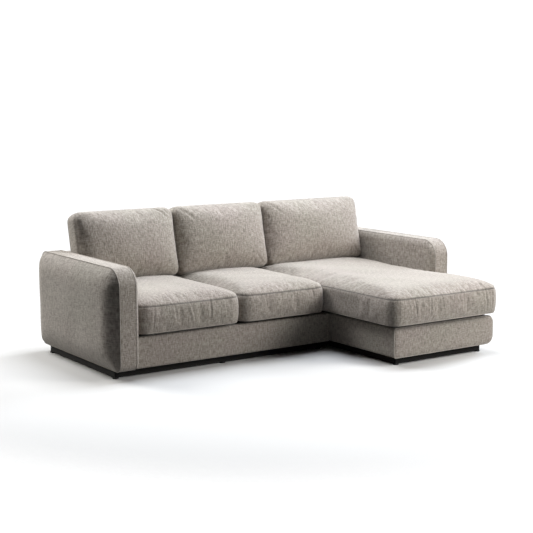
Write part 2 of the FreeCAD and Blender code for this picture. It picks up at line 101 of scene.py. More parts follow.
# A seat cushion's front puckers: heights of their ends, width, and share of the depth.
# The fold above each: (y, z) of its ends, their shares of the lean, width and depth share.
PUCKER_HEIGHTS = (0.174, 0.060)
PUCKER_WIDTH = 0.009
PUCKER_SINK = 1.1
FOLD_ENDS = ((0.006, 0.182), (0.095, 0.212))
FOLD_LEANS = (0.4, 1.6)
FOLD_WIDTH = 0.011
FOLD_SINK = 0.5
# A base's painted shade on its lip begins this far under its top and behind its front
LIP_UNDER = 0.002
LIP_BEHIND = 0.009


def back_face(height: float) -> float:
    """Depth of the back rest's leaning front face at a height above the floor.

    The face moves forward by the tangent of the lean for each metre below its top.
    """
    return BACK_REAR - BACK_TOP_DEPTH - (BACK_TOP - height) * math.tan(LEAN)


class Side(Enum):
    """Which end of the sofa a piece stands at."""

    LEFT = -1
    RIGHT = 1


class Grain(Enum):
    """Direction of a timber piece's fibres, as the turn that lays the pattern's Z there."""

    ALONG_X = (0.0, math.pi / 2.0, 0.0)
    ALONG_Y = (math.pi / 2.0, 0.0, 0.0)
    ALONG_Z = (0.0, 0.0, 0.0)


# Node graphs
class Graph:
    """Short way of adding nodes and links to one node tree."""

    def __init__(self, tree: bpy.types.NodeTree) -> None:
        """Keeps the tree that the nodes go into."""
        self.tree = tree

    def add(self, kind: str, values: dict | None = None, **settings) -> bpy.types.Node:
        """Adds one node.

        Args:
            kind: The node's type name.
            values: Socket name or index to a constant, or to the socket that feeds it.
            settings: Attributes of the node.

        Returns:
            The new node.
        """
        node = self.tree.nodes.new(kind)
        for name, value in settings.items():
            setattr(node, name, value)
        for name, value in (values or {}).items():
            socket = node.inputs[name]
            if isinstance(value, Socket):
                self.tree.links.new(value, socket)
            else:
                socket.default_value = value
        return node

    def noise(self, vector: Socket, scale: Triple, detail: float) -> Socket:
        """Noise around a half, with its own number of cells for each metre on each axis."""
        mapping = self.add("ShaderNodeMapping", {"Vector": vector, "Scale": scale})
        values = {"Vector": mapping.outputs[0], "Scale": 1.0, "Detail": detail, "Roughness": 0.55}
        return self.add("ShaderNodeTexNoise", values).outputs[0]

    def bands(self, vector: Socket, direction: str, scale: float, distortion: float,
              detail: float) -> Socket:
        """Sine waves along X or Y, bent by the distortion."""
        values = {"Vector": vector, "Scale": scale, "Distortion": distortion, "Detail": detail}
        wave = self.add(
            "ShaderNodeTexWave", values, wave_type="BANDS", bands_direction=direction,
            wave_profile="SIN",
        )
        return wave.outputs[1]

    def weighted(self, value: Socket, weight: float, base: float | Socket) -> Socket:
        """Value times a weight, plus a base."""
        values = {0: value, 1: weight, 2: base}
        return self.add("ShaderNodeMath", values, operation="MULTIPLY_ADD").outputs[0]

    def summed(self, base: float, terms: Iterable[tuple[Socket, float]]) -> Socket:
        """Base plus each value times its weight."""
        total = base
        for value, weight in terms:
            total = self.weighted(value, weight, total)
        return total

    def ramp(self, value: Socket, stops: list[tuple[float, Triple]]) -> Socket:
        """Colour that runs through the given places and colours, two or more."""
        node = self.add("ShaderNodeValToRGB", {0: value})
        points = node.color_ramp.elements
        while len(points) < len(stops):
            points.new(0.5)
        for point, (place, colour) in zip(points, stops):
            point.position = place
            point.color = (*colour, 1.0)
        return node.outputs[0]

    def mixed(self, share: float | Socket, first: object, second: object,
              blend: str = "MIX") -> Socket:
        """Colour between two colours."""
        values = {0: share, 6: first, 7: second}
        return self.add("ShaderNodeMix", values, data_type="RGBA", blend_type=blend).outputs[2]

    def object_place(self) -> Socket:
        """Object coordinates."""
        return self.add("ShaderNodeTexCoord").outputs["Object"]

    def camera_ray(self) -> Socket:
        """1 for what the camera sees itself, and 0 for light on its way to the sofa."""
        return self.add("ShaderNodeLightPath").outputs["Is Camera Ray"]

    def surface(self, height: Socket, strength: float, relief: float, values: dict) -> None:
        """Makes the material's surface.

        Args:
            height: Height of the relief, from 0 to 1.
            strength: Strength of the relief.
            relief: Its depth in metres.
            values: The shader's other sockets.
        """
        bump = self.add(
            "ShaderNodeBump", {"Height": height, "Strength": strength, "Distance": relief}
        )
        shader = self.add("ShaderNodeBsdfPrincipled", {**values, "Normal": bump.outputs[0]})
        self.add("ShaderNodeOutputMaterial", {0: shader.outputs[0]})

    def grouped(self, group: bpy.types.NodeTree, vector: Socket) -> bpy.types.Node:
        """Adds a node that uses a shared group, and links its Vector."""
        node = self.add("ShaderNodeGroup", node_tree=group)
        self.tree.links.new(vector, node.inputs[0])
        return node


def new_group(name: str, outputs: tuple[str, ...]) -> tuple[Graph, Socket]:
    """Starts a shader node group with a Vector input.

    Args:
        name: Name of the group.
        outputs: Names of its outputs, which are numbers.

    Returns:
        The group's graph and its Vector socket.
    """
    tree = bpy.data.node_groups.new(name, "ShaderNodeTree")
    tree.interface.new_socket("Vector", in_out="INPUT", socket_type="NodeSocketVector")
    for output in outputs:
        tree.interface.new_socket(output, in_out="OUTPUT", socket_type="NodeSocketFloat")
    return Graph(tree), tree.nodes.new("NodeGroupInput").outputs[0]


def blank_material(name: str) -> tuple[Material, Graph]:
    """Material with an empty node tree, and its graph."""
    material = bpy.data.materials.new(name)
    material.use_nodes = True
    material.node_tree.nodes.clear()
    return material, Graph(material.node_tree)


@dataclass(frozen=True)
class Weave:
    """Slubbed weave shared by every upholstered piece.

    Upright slubs are noise stretched along the warp, cross slubs are noise stretched
    along the weft, and the threads are two crossing waves. Tone is the weighted sum of
    the slubs, flecks and patches, Height the relief of slubs and threads, and Drift a
    slow change over the whole piece. Scales are noise cells for each metre. The tone's
    weights are those of the four noises, the relief's those of warp, weft and slubs.
    """

    upright: Triple = (128.0, 36.0, 1.0)
    cross: Triple = (42.0, 150.0, 1.0)
    flecks: Triple = (420.0, 420.0, 1.0)
    patch: Triple = (34.0, 12.0, 1.0)
    drift: Triple = (2.6, 2.2, 1.0)
    warp_scale: float = 42.0
    weft_scale: float = 58.0
    thread_distortion: float = 2.4
    tone_base: float = -0.74
    tone_weights: tuple[float, ...] = (1.25, 0.88, 0.25, 0.18)
    relief_weights: tuple[float, ...] = (0.30, 0.22, 1.0, 1.0)

    def build(self) -> bpy.types.NodeTree:
        """Makes the node group."""
        graph, vector = new_group("chenille_weave", ("Tone", "Height", "Drift"))
        upright = graph.noise(vector, self.upright, 2.0)
        cross = graph.noise(vector, self.cross, 2.0)
        flecks = graph.noise(vector, self.flecks, 1.0)
        patch = graph.noise(vector, self.patch, 2.0)
        drift = graph.noise(vector, self.drift, 2.0)
        warp = graph.bands(vector, "X", self.warp_scale, self.thread_distortion, 2.0)
        weft = graph.bands(vector, "Y", self.weft_scale, self.thread_distortion, 2.0)
        noises = (upright, cross, flecks, patch)
        tone = graph.summed(self.tone_base, zip(noises, self.tone_weights))
        height = graph.summed(0.0, zip((warp, weft, upright, cross), self.relief_weights))
        graph.add("NodeGroupOutput", {"Tone": tone, "Height": height, "Drift": drift})
        return graph.tree


@dataclass(frozen=True)
class Growth:
    """Growth rings and pores of sawn timber, stretched along Z."""

    warp: Triple = (6.0, 6.0, 1.2)
    pores: Triple = (700.0, 700.0, 14.0)
    ring_scale: float = 18.0

    def build(self) -> bpy.types.NodeTree:
        """Makes the node group, with Rings and Pores between 0 and 1."""
        graph, vector = new_group("sawn_timber", ("Rings", "Pores"))
        warp = graph.noise(vector, self.warp, 2.0)
        rings = graph.add(
            "ShaderNodeTexWave",
            {"Vector": vector, "Scale": self.ring_scale, "Distortion": 5.0, "Detail": 2.0,
             "Detail Scale": 0.6},
            wave_type="RINGS", rings_direction="Z", wave_profile="SAW",
        )
        mixed = graph.summed(-0.05, ((rings.outputs[1], 0.5), (warp, 0.6)))
        pores = graph.noise(vector, self.pores, 2.0)
        graph.add("NodeGroupOutput", {"Rings": mixed, "Pores": pores})
        return graph.tree


@dataclass(frozen=True)
class Chenille:
    """Slubbed chenille of the covers and cushions.

    The dark and the light yarn are mixed by the weave's tone, and the cloth drifts
    slowly between a faintly green and a faintly rosy cast. Where a piece's 'seam'
    weight is set, the cloth is mixed toward a near-black painted shade: in seam
    grooves, creases, cushion undersides and the lips of the bases.
    """

    name: str = "greige_chenille_weave"
    dark: Triple = (0.213, 0.188, 0.163)
    middle: Triple = (0.330, 0.294, 0.260)
    light: Triple = (0.452, 0.409, 0.366)
    green_cast: Triple = (0.985, 1.000, 0.975)
    rosy_cast: Triple = (1.000, 0.978, 0.985)
    painted_shade_colour: Triple = (0.045, 0.040, 0.034)
    painted_shade_strength: float = 0.75
    roughness: float = 0.92
    sheen: float = 0.55
    relief: float = 0.0020

    def build(self, weave: bpy.types.NodeTree) -> Material:
        """Makes the material on the piece's own cloth coordinates, which are in metres."""
        material, graph = blank_material(self.name)
        place = graph.add("ShaderNodeUVMap", uv_map="cloth")
        cloth = graph.grouped(weave, place.outputs[0])
        stops = [(0.22, self.dark), (0.52, self.middle), (0.84, self.light)]
        yarn = graph.ramp(cloth.outputs["Tone"], stops)
        casts = [(0.36, self.green_cast), (0.64, self.rosy_cast)]
        cast = graph.ramp(cloth.outputs["Drift"], casts)
        # Painted shade: the seam weight mixes the cloth toward the near-black shade colour in seam
        # grooves, creases, cushion undersides and base lips.
        seam = graph.add("ShaderNodeAttribute", attribute_name="seam").outputs["Fac"]
        painted_shade_share = graph.weighted(seam, self.painted_shade_strength, 0.0)
        tinted = graph.mixed(1.0, yarn, cast, "MULTIPLY")
        values = {
            "Base Color": graph.mixed(painted_shade_share, tinted, (*self.painted_shade_colour, 1.0)),
            "Roughness": self.roughness,
            "Specular IOR Level": 0.25,
            "Sheen Weight": self.sheen,
            "Sheen Roughness": 0.45,
            "Sheen Tint": (0.93, 0.90, 0.86, 1.0),
        }
        graph.surface(cloth.outputs["Height"], 0.75, self.relief, values)
        return material


@dataclass(frozen=True)
class Timber:
    """Sawn or stained timber, with rings and pores along its grain."""

    name: str
    dark: Triple
    light: Triple
    grain: Grain
    roughness: float = 0.62
    gloss: float = 0.3
    relief: float = 0.0004
    pore_shade: Triple = (0.72, 0.72, 0.72)

    def build(self, growth: bpy.types.NodeTree) -> Material:
        """Makes the material on Object coordinates."""
        material, graph = blank_material(self.name)
        turned = {"Vector": graph.object_place(), "Rotation": self.grain.value}
        wood = graph.grouped(growth, graph.add("ShaderNodeMapping", turned).outputs[0])
        pores = wood.outputs["Pores"]
        colour = graph.ramp(wood.outputs["Rings"], [(0.15, self.dark), (0.85, self.light)])
        shade = graph.ramp(pores, [(0.35, self.pore_shade), (0.55, (1.0, 1.0, 1.0))])
        values = {
            "Base Color": graph.mixed(0.8, colour, shade, "MULTIPLY"),
            "Roughness": graph.weighted(pores, 0.25, self.roughness - 0.12),
            "Specular IOR Level": self.gloss,
        }
        graph.surface(pores, 0.5, self.relief, values)
        return material


@dataclass(frozen=True)
class Webbed:
    """Cloth or elastic with a plain weave on Object coordinates."""

    name: str
    dark: Triple
    light: Triple
    ribs: float
    roughness: float = 0.85

    def build(self) -> Material:
        """Makes the material: two crossing sets of ribs and a little fleck."""
        material, graph = blank_material(self.name)
        place = graph.object_place()
        ribs = {0: graph.bands(place, "X", self.ribs, 0.4, 1.0),
                1: graph.bands(place, "Y", self.ribs, 0.4, 1.0)}
        weave = graph.add("ShaderNodeMath", ribs, operation="MULTIPLY").outputs[0]
        fleck = graph.noise(place, (160.0, 160.0, 160.0), 2.0)
        tone = graph.summed(-0.05, ((fleck, 0.6), (weave, 0.5)))
        colour = graph.ramp(tone, [(0.1, self.dark), (0.8, self.light)])
        graph.surface(tone, 0.6, 0.0006, {"Base Color": colour, "Roughness": self.roughness})
        return material


@dataclass(frozen=True)
class Cellular:
    """Foam or moulded plastic with a fine cellular grain."""

    name: str
    dark: Triple
    light: Triple
    cells: float
    roughness: float

    def build(self) -> Material:
        """Makes the material on Object coordinates."""
        material, graph = blank_material(self.name)
        place = {"Vector": graph.object_place(), "Scale": self.cells}
        cells = graph.add("ShaderNodeTexVoronoi", place).outputs["Distance"]
        tone = graph.weighted(cells, 0.8, 0.1)
        colour = graph.ramp(tone, [(0.1, self.dark), (0.7, self.light)])
        graph.surface(tone, 0.4, 0.0005, {"Base Color": colour, "Roughness": self.roughness})
        return material


class Finishes:
    """Every material of the sofa, made once."""

    def __init__(self) -> None:
        """Builds the shared groups and the materials."""
        growth = Growth().build()
        weave = Weave().build()
        self.chenille = Chenille().build(weave)
        # Painted highlight: a lighter copy of the same chenille, so that the piping and seam beads
        # look lit along their ridges.
        self.piping = Chenille(
            "greige_chenille_piping", (0.310, 0.280, 0.248), (0.440, 0.400, 0.360),
            (0.550, 0.506, 0.462),
        ).build(weave)
        black = ((0.0045, 0.0038, 0.0030), (0.0090, 0.0074, 0.0058))
        pine = ((0.44, 0.27, 0.13), (0.66, 0.46, 0.26))
        poplar = ((0.52, 0.38, 0.23), (0.68, 0.53, 0.36))
        timbers = (
            Timber("plinth_black_stain", *black, Grain.ALONG_X),
            Timber("plinth_black_stain_sides", *black, Grain.ALONG_Y),
            Timber("pine_side_to_side", *pine, Grain.ALONG_X),
            Timber("pine_front_to_back", *pine, Grain.ALONG_Y),
            Timber("pine_upright", *pine, Grain.ALONG_Z),
            Timber("poplar_plywood", *poplar, Grain.ALONG_Y, 0.58),
        )
        self.plinth, self.plinth_sides, self.pine_x, self.pine_y, self.pine_z, self.plywood = (
            timber.build(growth) for timber in timbers
        )
        self.webbing = Webbed(
            "black_elastic_webbing", (0.015, 0.015, 0.016), (0.075, 0.073, 0.070), 55.0
        ).build()
        self.platform = Webbed(
            "platform_cloth", (0.10, 0.093, 0.085), (0.21, 0.195, 0.18), 70.0
        ).build()
        self.foam = Cellular(
            "cut_foam", (0.62, 0.59, 0.45), (0.80, 0.78, 0.64), 320.0, 0.9
        ).build()
        self.glide = Cellular(
            "moulded_glide", (0.010, 0.010, 0.010), (0.028, 0.028, 0.028), 500.0, 0.45
        ).build()


# Surfaces on grids
def numbered(rows: int, columns: int, start: int = 0) -> Indices:
    """Numbers of a grid's points, row by row."""
    return np.arange(rows * columns).reshape(rows, columns) + start


def cells(grid: NDArray) -> NDArray:
    """What stands at the four corners of each cell of a grid, once round the cell."""
    return np.stack([grid[:-1, :-1], grid[:-1, 1:], grid[1:, 1:], grid[1:, :-1]], axis=2)


def quads_of(numbers: Indices) -> Indices:
    """Quads between numbered points, one row of four numbers for each."""
    return cells(numbers).reshape(-1, 4)


def cloth_of(u: Array, v: Array) -> Array:
    """Cloth coordinates at the corners of a grid's quads, in the order of quads_of."""
    return cells(np.stack([u, v], axis=-1)).reshape(-1, 2)


def reversed_cloth(cloth: Array) -> Array:
    """Cloth coordinates of quads that run the other way round."""
    return cloth.reshape(-1, 4, 2)[:, ::-1].reshape(-1, 2)


def rim_of(numbers: Indices) -> Indices:
    """Numbers on the rim of a grid, once round from the first corner."""
    sides = [numbers[0, :-1], numbers[:-1, -1], numbers[-1, :0:-1], numbers[:0:-1, 0]]
    return np.concatenate(sides)


def wrapped(grid: NDArray) -> NDArray:
    """Grid with its first column repeated after the last."""
    return np.concatenate([grid, grid[:, :1]], axis=1)


def unit(vectors: Array) -> Array:
    """Vectors of length 1 along the given rows."""
    return vectors / np.linalg.norm(vectors, axis=1)[:, None]


def run_along(points: Array) -> Array:
    """Length along a line of points, from 0 at the first."""
    return np.append(0.0, np.cumsum(np.linalg.norm(np.diff(points, axis=0), axis=1)))


def eased_axis(half: float, cell: float, edge: tuple[float, ...]) -> Array:
    """Places from -half to half, even in the middle and close together at both ends.

    Args:
        half: Half of the length.
        cell: Spacing in the middle.
        edge: Distances from each end of the places beside it, rising.

    Returns:
        The places, rising.
    """
    even = half - edge[-1]
    middle = np.linspace(-even, even, max(2, round(2.0 * even / cell)) + 1)
    near = np.array([0.0, *edge[:-1]])
    return np.concatenate([near - half, middle, (half - near)[::-1]])


@dataclass
class Sheet:
    """Vertices, quads, cloth coordinates and painted-shade weights (seam) of one surface."""

    points: Array
    quads: Indices
    cloth: Array
    seam: Array | None = None

    def joined(self, other: "Sheet") -> "Sheet":
        """This sheet and another as one, without merging their points or painted-shade weights."""
        return Sheet(
            np.vstack([self.points, other.points]),
            np.vstack([self.quads, other.quads + len(self.points)]),
            np.vstack([self.cloth, other.cloth]),
        )

    def turned_outwards(self) -> "Sheet":
        """The sheet with its quads reversed where they enclose a negative volume.

        Six times the volume is the sum, over the two triangles of each quad, of the
        first corner dotted with the cross product of the other two.
        """
        corner = self.points[self.quads]
        volume = sum(
            np.einsum("ij,ij->i", corner[:, 0], np.cross(corner[:, second], corner[:, second + 1]))
            for second in (1, 2)
        )
        if volume.sum() >= 0.0:
            return self
        return Sheet(self.points, self.quads[:, ::-1], reversed_cloth(self.cloth), self.seam)


@dataclass(frozen=True)
class Outline:
    """Rounded rectangle about the origin, with its own radius at each corner.

    The radii run front left, front right, back right and back left, where the front
    is at the lowest y.
    """

    width: float
    depth: float
    radii: tuple[float, ...]

    def halves(self) -> tuple[float, float]:
        """Half of the width and half of the depth."""
        return self.width / 2.0, self.depth / 2.0

    def radius(self, x: Array, y: Array) -> Array:
        """Radius of the corner in whose quarter each point lies."""
        front = np.where(x < 0.0, self.radii[0], self.radii[1])
        back = np.where(x < 0.0, self.radii[3], self.radii[2])
        return np.where(y < 0.0, front, back)

    def edge_point(self, x: Array, y: Array) -> tuple[Array, Array]:
        """Point of the rounded edge for each point of the plain rectangle's edge.

        Within a radius of a corner, the way along the rectangle's side becomes an
        angle of up to 45 degrees along the arc.
        """
        radius = self.radius(x, y)
        half_x, half_y = self.halves()
        flat_x, flat_y = half_x - radius, half_y - radius
        beyond_x = np.clip(np.abs(x) - flat_x, 0.0, radius) / radius
        beyond_y = np.clip(np.abs(y) - flat_y, 0.0, radius) / radius
        angle = (beyond_x + 1.0 - beyond_y) * math.pi / 4.0
        edge_x = np.minimum(np.abs(x), flat_x) + radius * np.sin(angle)
        edge_y = np.minimum(np.abs(y), flat_y) + radius * np.cos(angle)
        return np.sign(x) * edge_x, np.sign(y) * edge_y

    def fitted(self, x: Array, y: Array) -> tuple[Array, Array]:
        """Grid of the plain rectangle, drawn in so that its rim follows the rounded edge.

        A point at the share m of the way from the centre to the rim moves toward m
        times its own rim point, by the weight m cubed.
        """
        half_x, half_y = self.halves()
        share = np.maximum(np.abs(x) / half_x, np.abs(y) / half_y)
        safe = np.maximum(share, TINY)
        edge_x, edge_y = self.edge_point(x / safe, y / safe)
        weight = share ** 3
        return x + weight * (share * edge_x - x), y + weight * (share * edge_y - y)

    def depth_inside(self, x: Array, y: Array) -> Array:
        """Distance of each point from the rounded edge, inside it."""
        radius = self.radius(x, y)
        half_x, half_y = self.halves()
        past_x = np.abs(x) - (half_x - radius)
        past_y = np.abs(y) - (half_y - radius)
        corner = np.hypot(np.maximum(past_x, 0.0), np.maximum(past_y, 0.0))
        return np.maximum(radius - corner - np.minimum(np.maximum(past_x, past_y), 0.0), 0.0)


class Turn(Enum):
    """Shape of a face's roll: firm and full, soft and slanting, or tucked underneath."""

    FULL = 0
    SOFT = 1
    TUCKED = 2


@dataclass(frozen=True)
class Roll:
    """How a face rolls over to its seam: how high it stands, and how far in it is level."""

    rise: float
    spread: float
    turn: Turn = Turn.FULL

    def height(self, inside: Array) -> Array:
        """Height over the distance from the seam, level beyond the spread.

        With s the distance over the spread, a full roll is a quarter ellipse in s, a
        soft one is 1 - (1 - s) to the power 2.4, and a tucked one is s to the power 1.4.
        """
        share = np.clip(inside / self.spread, 0.0, 1.0)
        curves = {
            Turn.FULL: np.sqrt(1.0 - (1.0 - share) ** 2),
            Turn.SOFT: 1.0 - (1.0 - share) ** 2.4,
            Turn.TUCKED: share ** 1.4,
        }
        return self.rise * curves[self.turn]


@dataclass(frozen=True)
class Crease:
    """Pucker or fold: a groove with a low ridge on both sides, between two points.

    The points are in the pad's own coordinates. Across the surface the crease has its
    width, and square to it a reach within which points belong to it.
    """

    start: Triple
    end: Triple
    width: float
    depth: float
    reach: float = 0.050

    def offset(self, points: Array, normals: Array) -> Array:
        """How far each point moves along its normal.

        With q the distance from the segment within the surface over the width, the
        profile is (1 - 2 q squared) times exp(-q squared), faded in and out by a sine
        along the segment and away from it along the normal.
        """
        start = np.array(self.start)
        along = np.array(self.end) - start
        place = np.clip((points - start) @ along / np.linalg.norm(along) ** 2, 0.0, 1.0)
        away = points - (start + place[:, None] * along)
        height = np.sum(away * normals, axis=1)
        aside = np.linalg.norm(away - height[:, None] * normals, axis=1) / self.width
        fade = np.sin(np.pi * np.clip(place * FADE_SPAN + FADE_START, 0.0, 1.0))
        fade = fade * np.exp(-(height / self.reach) ** 2)
        return -self.depth * fade * (1.0 - 2.0 * aside ** 2) * np.exp(-aside ** 2)


@dataclass(frozen=True)
class Placing:
    """Where a pad's own axes lie in the sofa: its middle and its three directions."""

    middle: Triple
    across: Triple = (1.0, 0.0, 0.0)
    along: Triple = (0.0, 1.0, 0.0)
    out: Triple = (0.0, 0.0, 1.0)

    def axes(self) -> Array:
        """The three directions as the rows of a matrix."""
        return np.array([self.across, self.along, self.out])

    def to_sofa(self, points: Array) -> Array:
        """Points of the pad in the sofa's frame."""
        return points @ self.axes() + np.array(self.middle)

    def to_pad(self, points: Array) -> Array:
        """Points of the sofa's frame in the pad's own axes."""
        return (points - np.array(self.middle)) @ self.axes().T


@dataclass
class Pad:
    """Boxed pad: a lower face, a boxing band between two seams, and an upper face.

    Local x and y run across the faces and z through the thickness, from the lower
    face. Both faces are grids drawn in to the rounded outline, and the band hangs
    between their rims.
    """

    outline: Outline
    lower: Roll
    boxing: float
    upper: Roll
    placing: Placing
    seed: int
    seam_draw: float = 0.003
    seam_dip: float = 0.0020
    dip_width: float = 0.004
    # Painted shade: weights toward the cloth's shade colour along both seams and over the lower
    # face.
    seam_painted_shade: float = 1.0
    underside_painted_shade: float = 0.0
    cloth_scale: tuple[float, float] = (1.0, 1.0)
    side_bulge: float = 0.0
    smoothing: int = 24
    firm_rim: float = 0.0
    soften_length: float = 0.050
    cell: float = 0.012
    boxing_cell: float = 0.016
    edge: tuple[float, ...] = (0.006, 0.015)
    wander: float = 0.0012
    wander_waves: int = 6
    wander_pitch: tuple[float, float] = (0.14, 0.42)
    wander_ease: float = 0.080
    gather: float = 0.0
    gather_pitches: tuple[float, ...] = (0.034, 0.047, 0.071, 0.113)
    gather_reach: float = 0.030
    gather_ease: float = 0.008
    belly: float = 0.0
    belly_drop: float = 0.0
    belly_ease: float = 0.030
    band_turned: bool = False
    creases: tuple[Crease, ...] = ()
    seam_loops: list[Indices] = field(default_factory=list)
    lower_count: int = 0

    def smooth_depth(self, x: Array, y: Array) -> Array:
        """Distance from the rim with its sharp ridges softened by repeated averaging.

        It stays exact as far in as the firm rim, and is wholly softened 50 mm further.
        """
        exact = self.outline.depth_inside(x, y)
        depth = exact.copy()
        for _ in range(self.smoothing):
            beside = depth[:-2, 1:-1] + depth[2:, 1:-1] + depth[1:-1, :-2] + depth[1:-1, 2:]
            depth[1:-1, 1:-1] = beside / 4.0
        share = np.clip((exact - self.firm_rim) / self.soften_length, 0.0, 1.0)
        return exact + share * (depth - exact)

    def wandering(self, x: Array, y: Array) -> Array:
        """Slow unevenness of stuffed cloth: a seeded sum of crossing sine waves."""
        rng = np.random.default_rng(self.seed)
        total = np.zeros_like(x)
        for _ in range(self.wander_waves):
            turn, phase = rng.uniform(0.0, FULL_TURN, 2)
            pitch = rng.uniform(*self.wander_pitch)
            way = x * math.cos(turn) + y * math.sin(turn)
            total += np.sin(FULL_TURN * way / pitch + phase)
        return total * self.wander / 2.0

    def gathered(self, x: Array, y: Array, inside: Array) -> Array:
        """Small puckers that run in from the seams.

        Each is a seeded sum of sine waves along the nearest side. It is nought on the
        seam, greatest about a centimetre in, and dies away within five.
        """
        rng = np.random.default_rng(self.seed + 100)
        half_x, half_y = self.outline.halves()
        beside_x = np.exp(-(half_x - np.abs(x)) / self.gather_reach)
        beside_y = np.exp(-(half_y - np.abs(y)) / self.gather_reach)
        total = np.zeros_like(x)
        for pitch in self.gather_pitches:
            phase = rng.uniform(0.0, FULL_TURN, 4)
            from_x = np.sin(FULL_TURN * y / pitch + phase[0] + np.sign(x) * phase[1])
            from_y = np.sin(FULL_TURN * x / pitch + phase[2] + np.sign(y) * phase[3])
            total += beside_x * from_x + beside_y * from_y
        return total * self.gather / 2.0 * (1.0 - np.exp(-inside / self.gather_ease))

    def bellied(self, x: Array, y: Array, inside: Array) -> Array:
        """Broad bulge of the upper face, whose peak may lie below the middle.

        Its height is the product of two parabolas across and along the face, brought to
        nought at the seam.
        """
        reach = self.outline.depth / 2.0 + self.belly_drop
        across = 1.0 - (2.0 * x / self.outline.width) ** 2
        along = 1.0 - ((y + self.belly_drop) / reach) ** 2
        return self.belly * across * along * (1.0 - np.exp(-inside / self.belly_ease))

    def band(self, rim_x: Array, rim_y: Array) -> tuple[Array, Array]:
        """Boxing between the seams, carried once round the rim.

        It bulges by the sine of the height's share to the power 0.6, is drawn in beside
        both seams by a narrow Gaussian, and is puckered toward the upper seam.

        Args:
            rim_x: Local x of the rim's points.
            rim_y: Local y of the rim's points.

        Returns:
            The points, row by row from the lower seam, and the rows' shares of the height.
        """
        near = tuple(distance / self.boxing for distance in self.edge)
        share = eased_axis(0.5, self.boxing_cell / self.boxing, near) + 0.5
        step_x = np.roll(rim_x, -1) - np.roll(rim_x, 1)
        step_y = np.roll(rim_y, -1) - np.roll(rim_y, 1)
        length = np.hypot(step_x, step_y)
        arch = np.sin(math.pi * share)
        from_seam = np.minimum(share, 1.0 - share) * self.boxing
        bulge = arch ** 0.6 * (self.seam_draw + self.side_bulge)
        bulge = bulge - self.seam_dip * np.exp(-(from_seam / self.dip_width) ** 2)
        puckers = self.gathered(rim_x, rim_y, np.full_like(rim_x, PUCKER_DEPTH_IN))
        bulge = bulge[:, None] + puckers * arch[:, None] * share[:, None]
        height = np.repeat(self.lower.rise + share[:, None] * self.boxing, len(rim_x), axis=1)
        points = np.stack(
            [rim_x + step_y / length * bulge, rim_y - step_x / length * bulge, height], axis=-1
        )
        return points, share

    def sheet(self) -> Sheet:
        """The whole closed surface in the sofa's frame, with its painted-shade weights."""
        half_x, half_y = self.outline.halves()
        y, x = np.meshgrid(
            eased_axis(half_y, self.cell, self.edge), eased_axis(half_x, self.cell, self.edge),
            indexing="ij",
        )
        x, y = self.outline.fitted(x, y)
        inside = self.smooth_depth(x, y)
        x, y = x * (1.0 - self.seam_draw / half_x), y * (1.0 - self.seam_draw / half_y)
        uneven = self.wandering(x, y) * np.clip(inside / self.wander_ease, 0.0, 1.0)
        uneven = uneven + self.gathered(x, y, inside) + self.bellied(x, y, inside)
        low = self.lower.rise - self.lower.height(inside)
        high = self.lower.rise + self.boxing + self.upper.height(inside) + uneven
        face = x.size
        lower = numbered(*x.shape)
        rim = rim_of(lower)
        band, share = self.band(x.ravel()[rim], y.ravel()[rim])
        numbers = numbered(len(share), len(rim), 2 * face - len(rim))
        numbers[0], numbers[-1] = rim, rim + face
        self.seam_loops = [numbers[0], numbers[-1]]
        self.lower_count = face
        faces = [np.stack([x, y, height], axis=-1).reshape(-1, 3) for height in (low, high)]
        faces[0][rim], faces[1][rim] = band[0], band[-1]
        points = np.vstack([*faces, band[1:-1].reshape(-1, 3)])
        quads = [quads_of(lower)[:, ::-1], quads_of(lower + face), quads_of(wrapped(numbers))]
        plane = cloth_of(x * self.cloth_scale[0], y * self.cloth_scale[1])
        around = np.stack([x.ravel()[rim], y.ravel()[rim]], axis=1)
        u, v = np.meshgrid(run_along(np.vstack([around, around[:1]])), share * self.boxing)
        side = cloth_of(v, u) if self.band_turned else cloth_of(u, v)
        shift = np.array([self.seed * step for step in CLOTH_STEPS])
        cloth = np.vstack([reversed_cloth(plane), plane, side]) + shift
        # Painted shade over the lower face and along both seams.
        seam = np.zeros(len(points))
        seam[:face] = self.underside_painted_shade
        seam[np.concatenate(self.seam_loops)] = self.seam_painted_shade
        sofa_points = self.placing.to_sofa(points)
        return Sheet(sofa_points, np.vstack(quads), cloth, seam).turned_outwards()


def bead(points: Array, radius: float, sides: int = 6) -> Sheet:
    """Thin round cord along a closed loop.

    The cord's section is a circle square to the loop: along each tangent, two
    directions are found by crossing it with the loop plane's normal.

    Args:
        points: Loop points, not repeated at the end.
        radius: Radius of the cord.
        sides: Sides of its section.

    Returns:
        A closed ring surface.
    """
    tangent = unit(np.roll(points, -1, axis=0) - np.roll(points, 1, axis=0))
    plane = np.cross(points - points.mean(axis=0), tangent).mean(axis=0)
    outward = unit(np.cross(tangent, plane / np.linalg.norm(plane)))
    upward = np.cross(outward, tangent)
    angle = FULL_TURN * np.arange(sides) / sides
    ring = (
        points[:, None, :]
        + radius * np.cos(angle)[None, :, None] * outward[:, None, :]
        + radius * np.sin(angle)[None, :, None] * upward[:, None, :]
    )
    numbers = wrapped(numbered(len(points), sides))
    turn = FULL_TURN * radius * np.arange(sides + 1) / sides
    v, u = np.meshgrid(turn, run_along(np.vstack([points, points[:1]])))
    quads = quads_of(np.vstack([numbers, numbers[:1]]))
    return Sheet(ring.reshape(-1, 3), quads, cloth_of(u, v)).turned_outwards()


# Pieces
def in_scene(name: str, data: bpy.types.ID) -> Piece:
    """New object of the scene, at the origin."""
    thing = bpy.data.objects.new(name, data)
    bpy.context.scene.collection.objects.link(thing)
    return thing


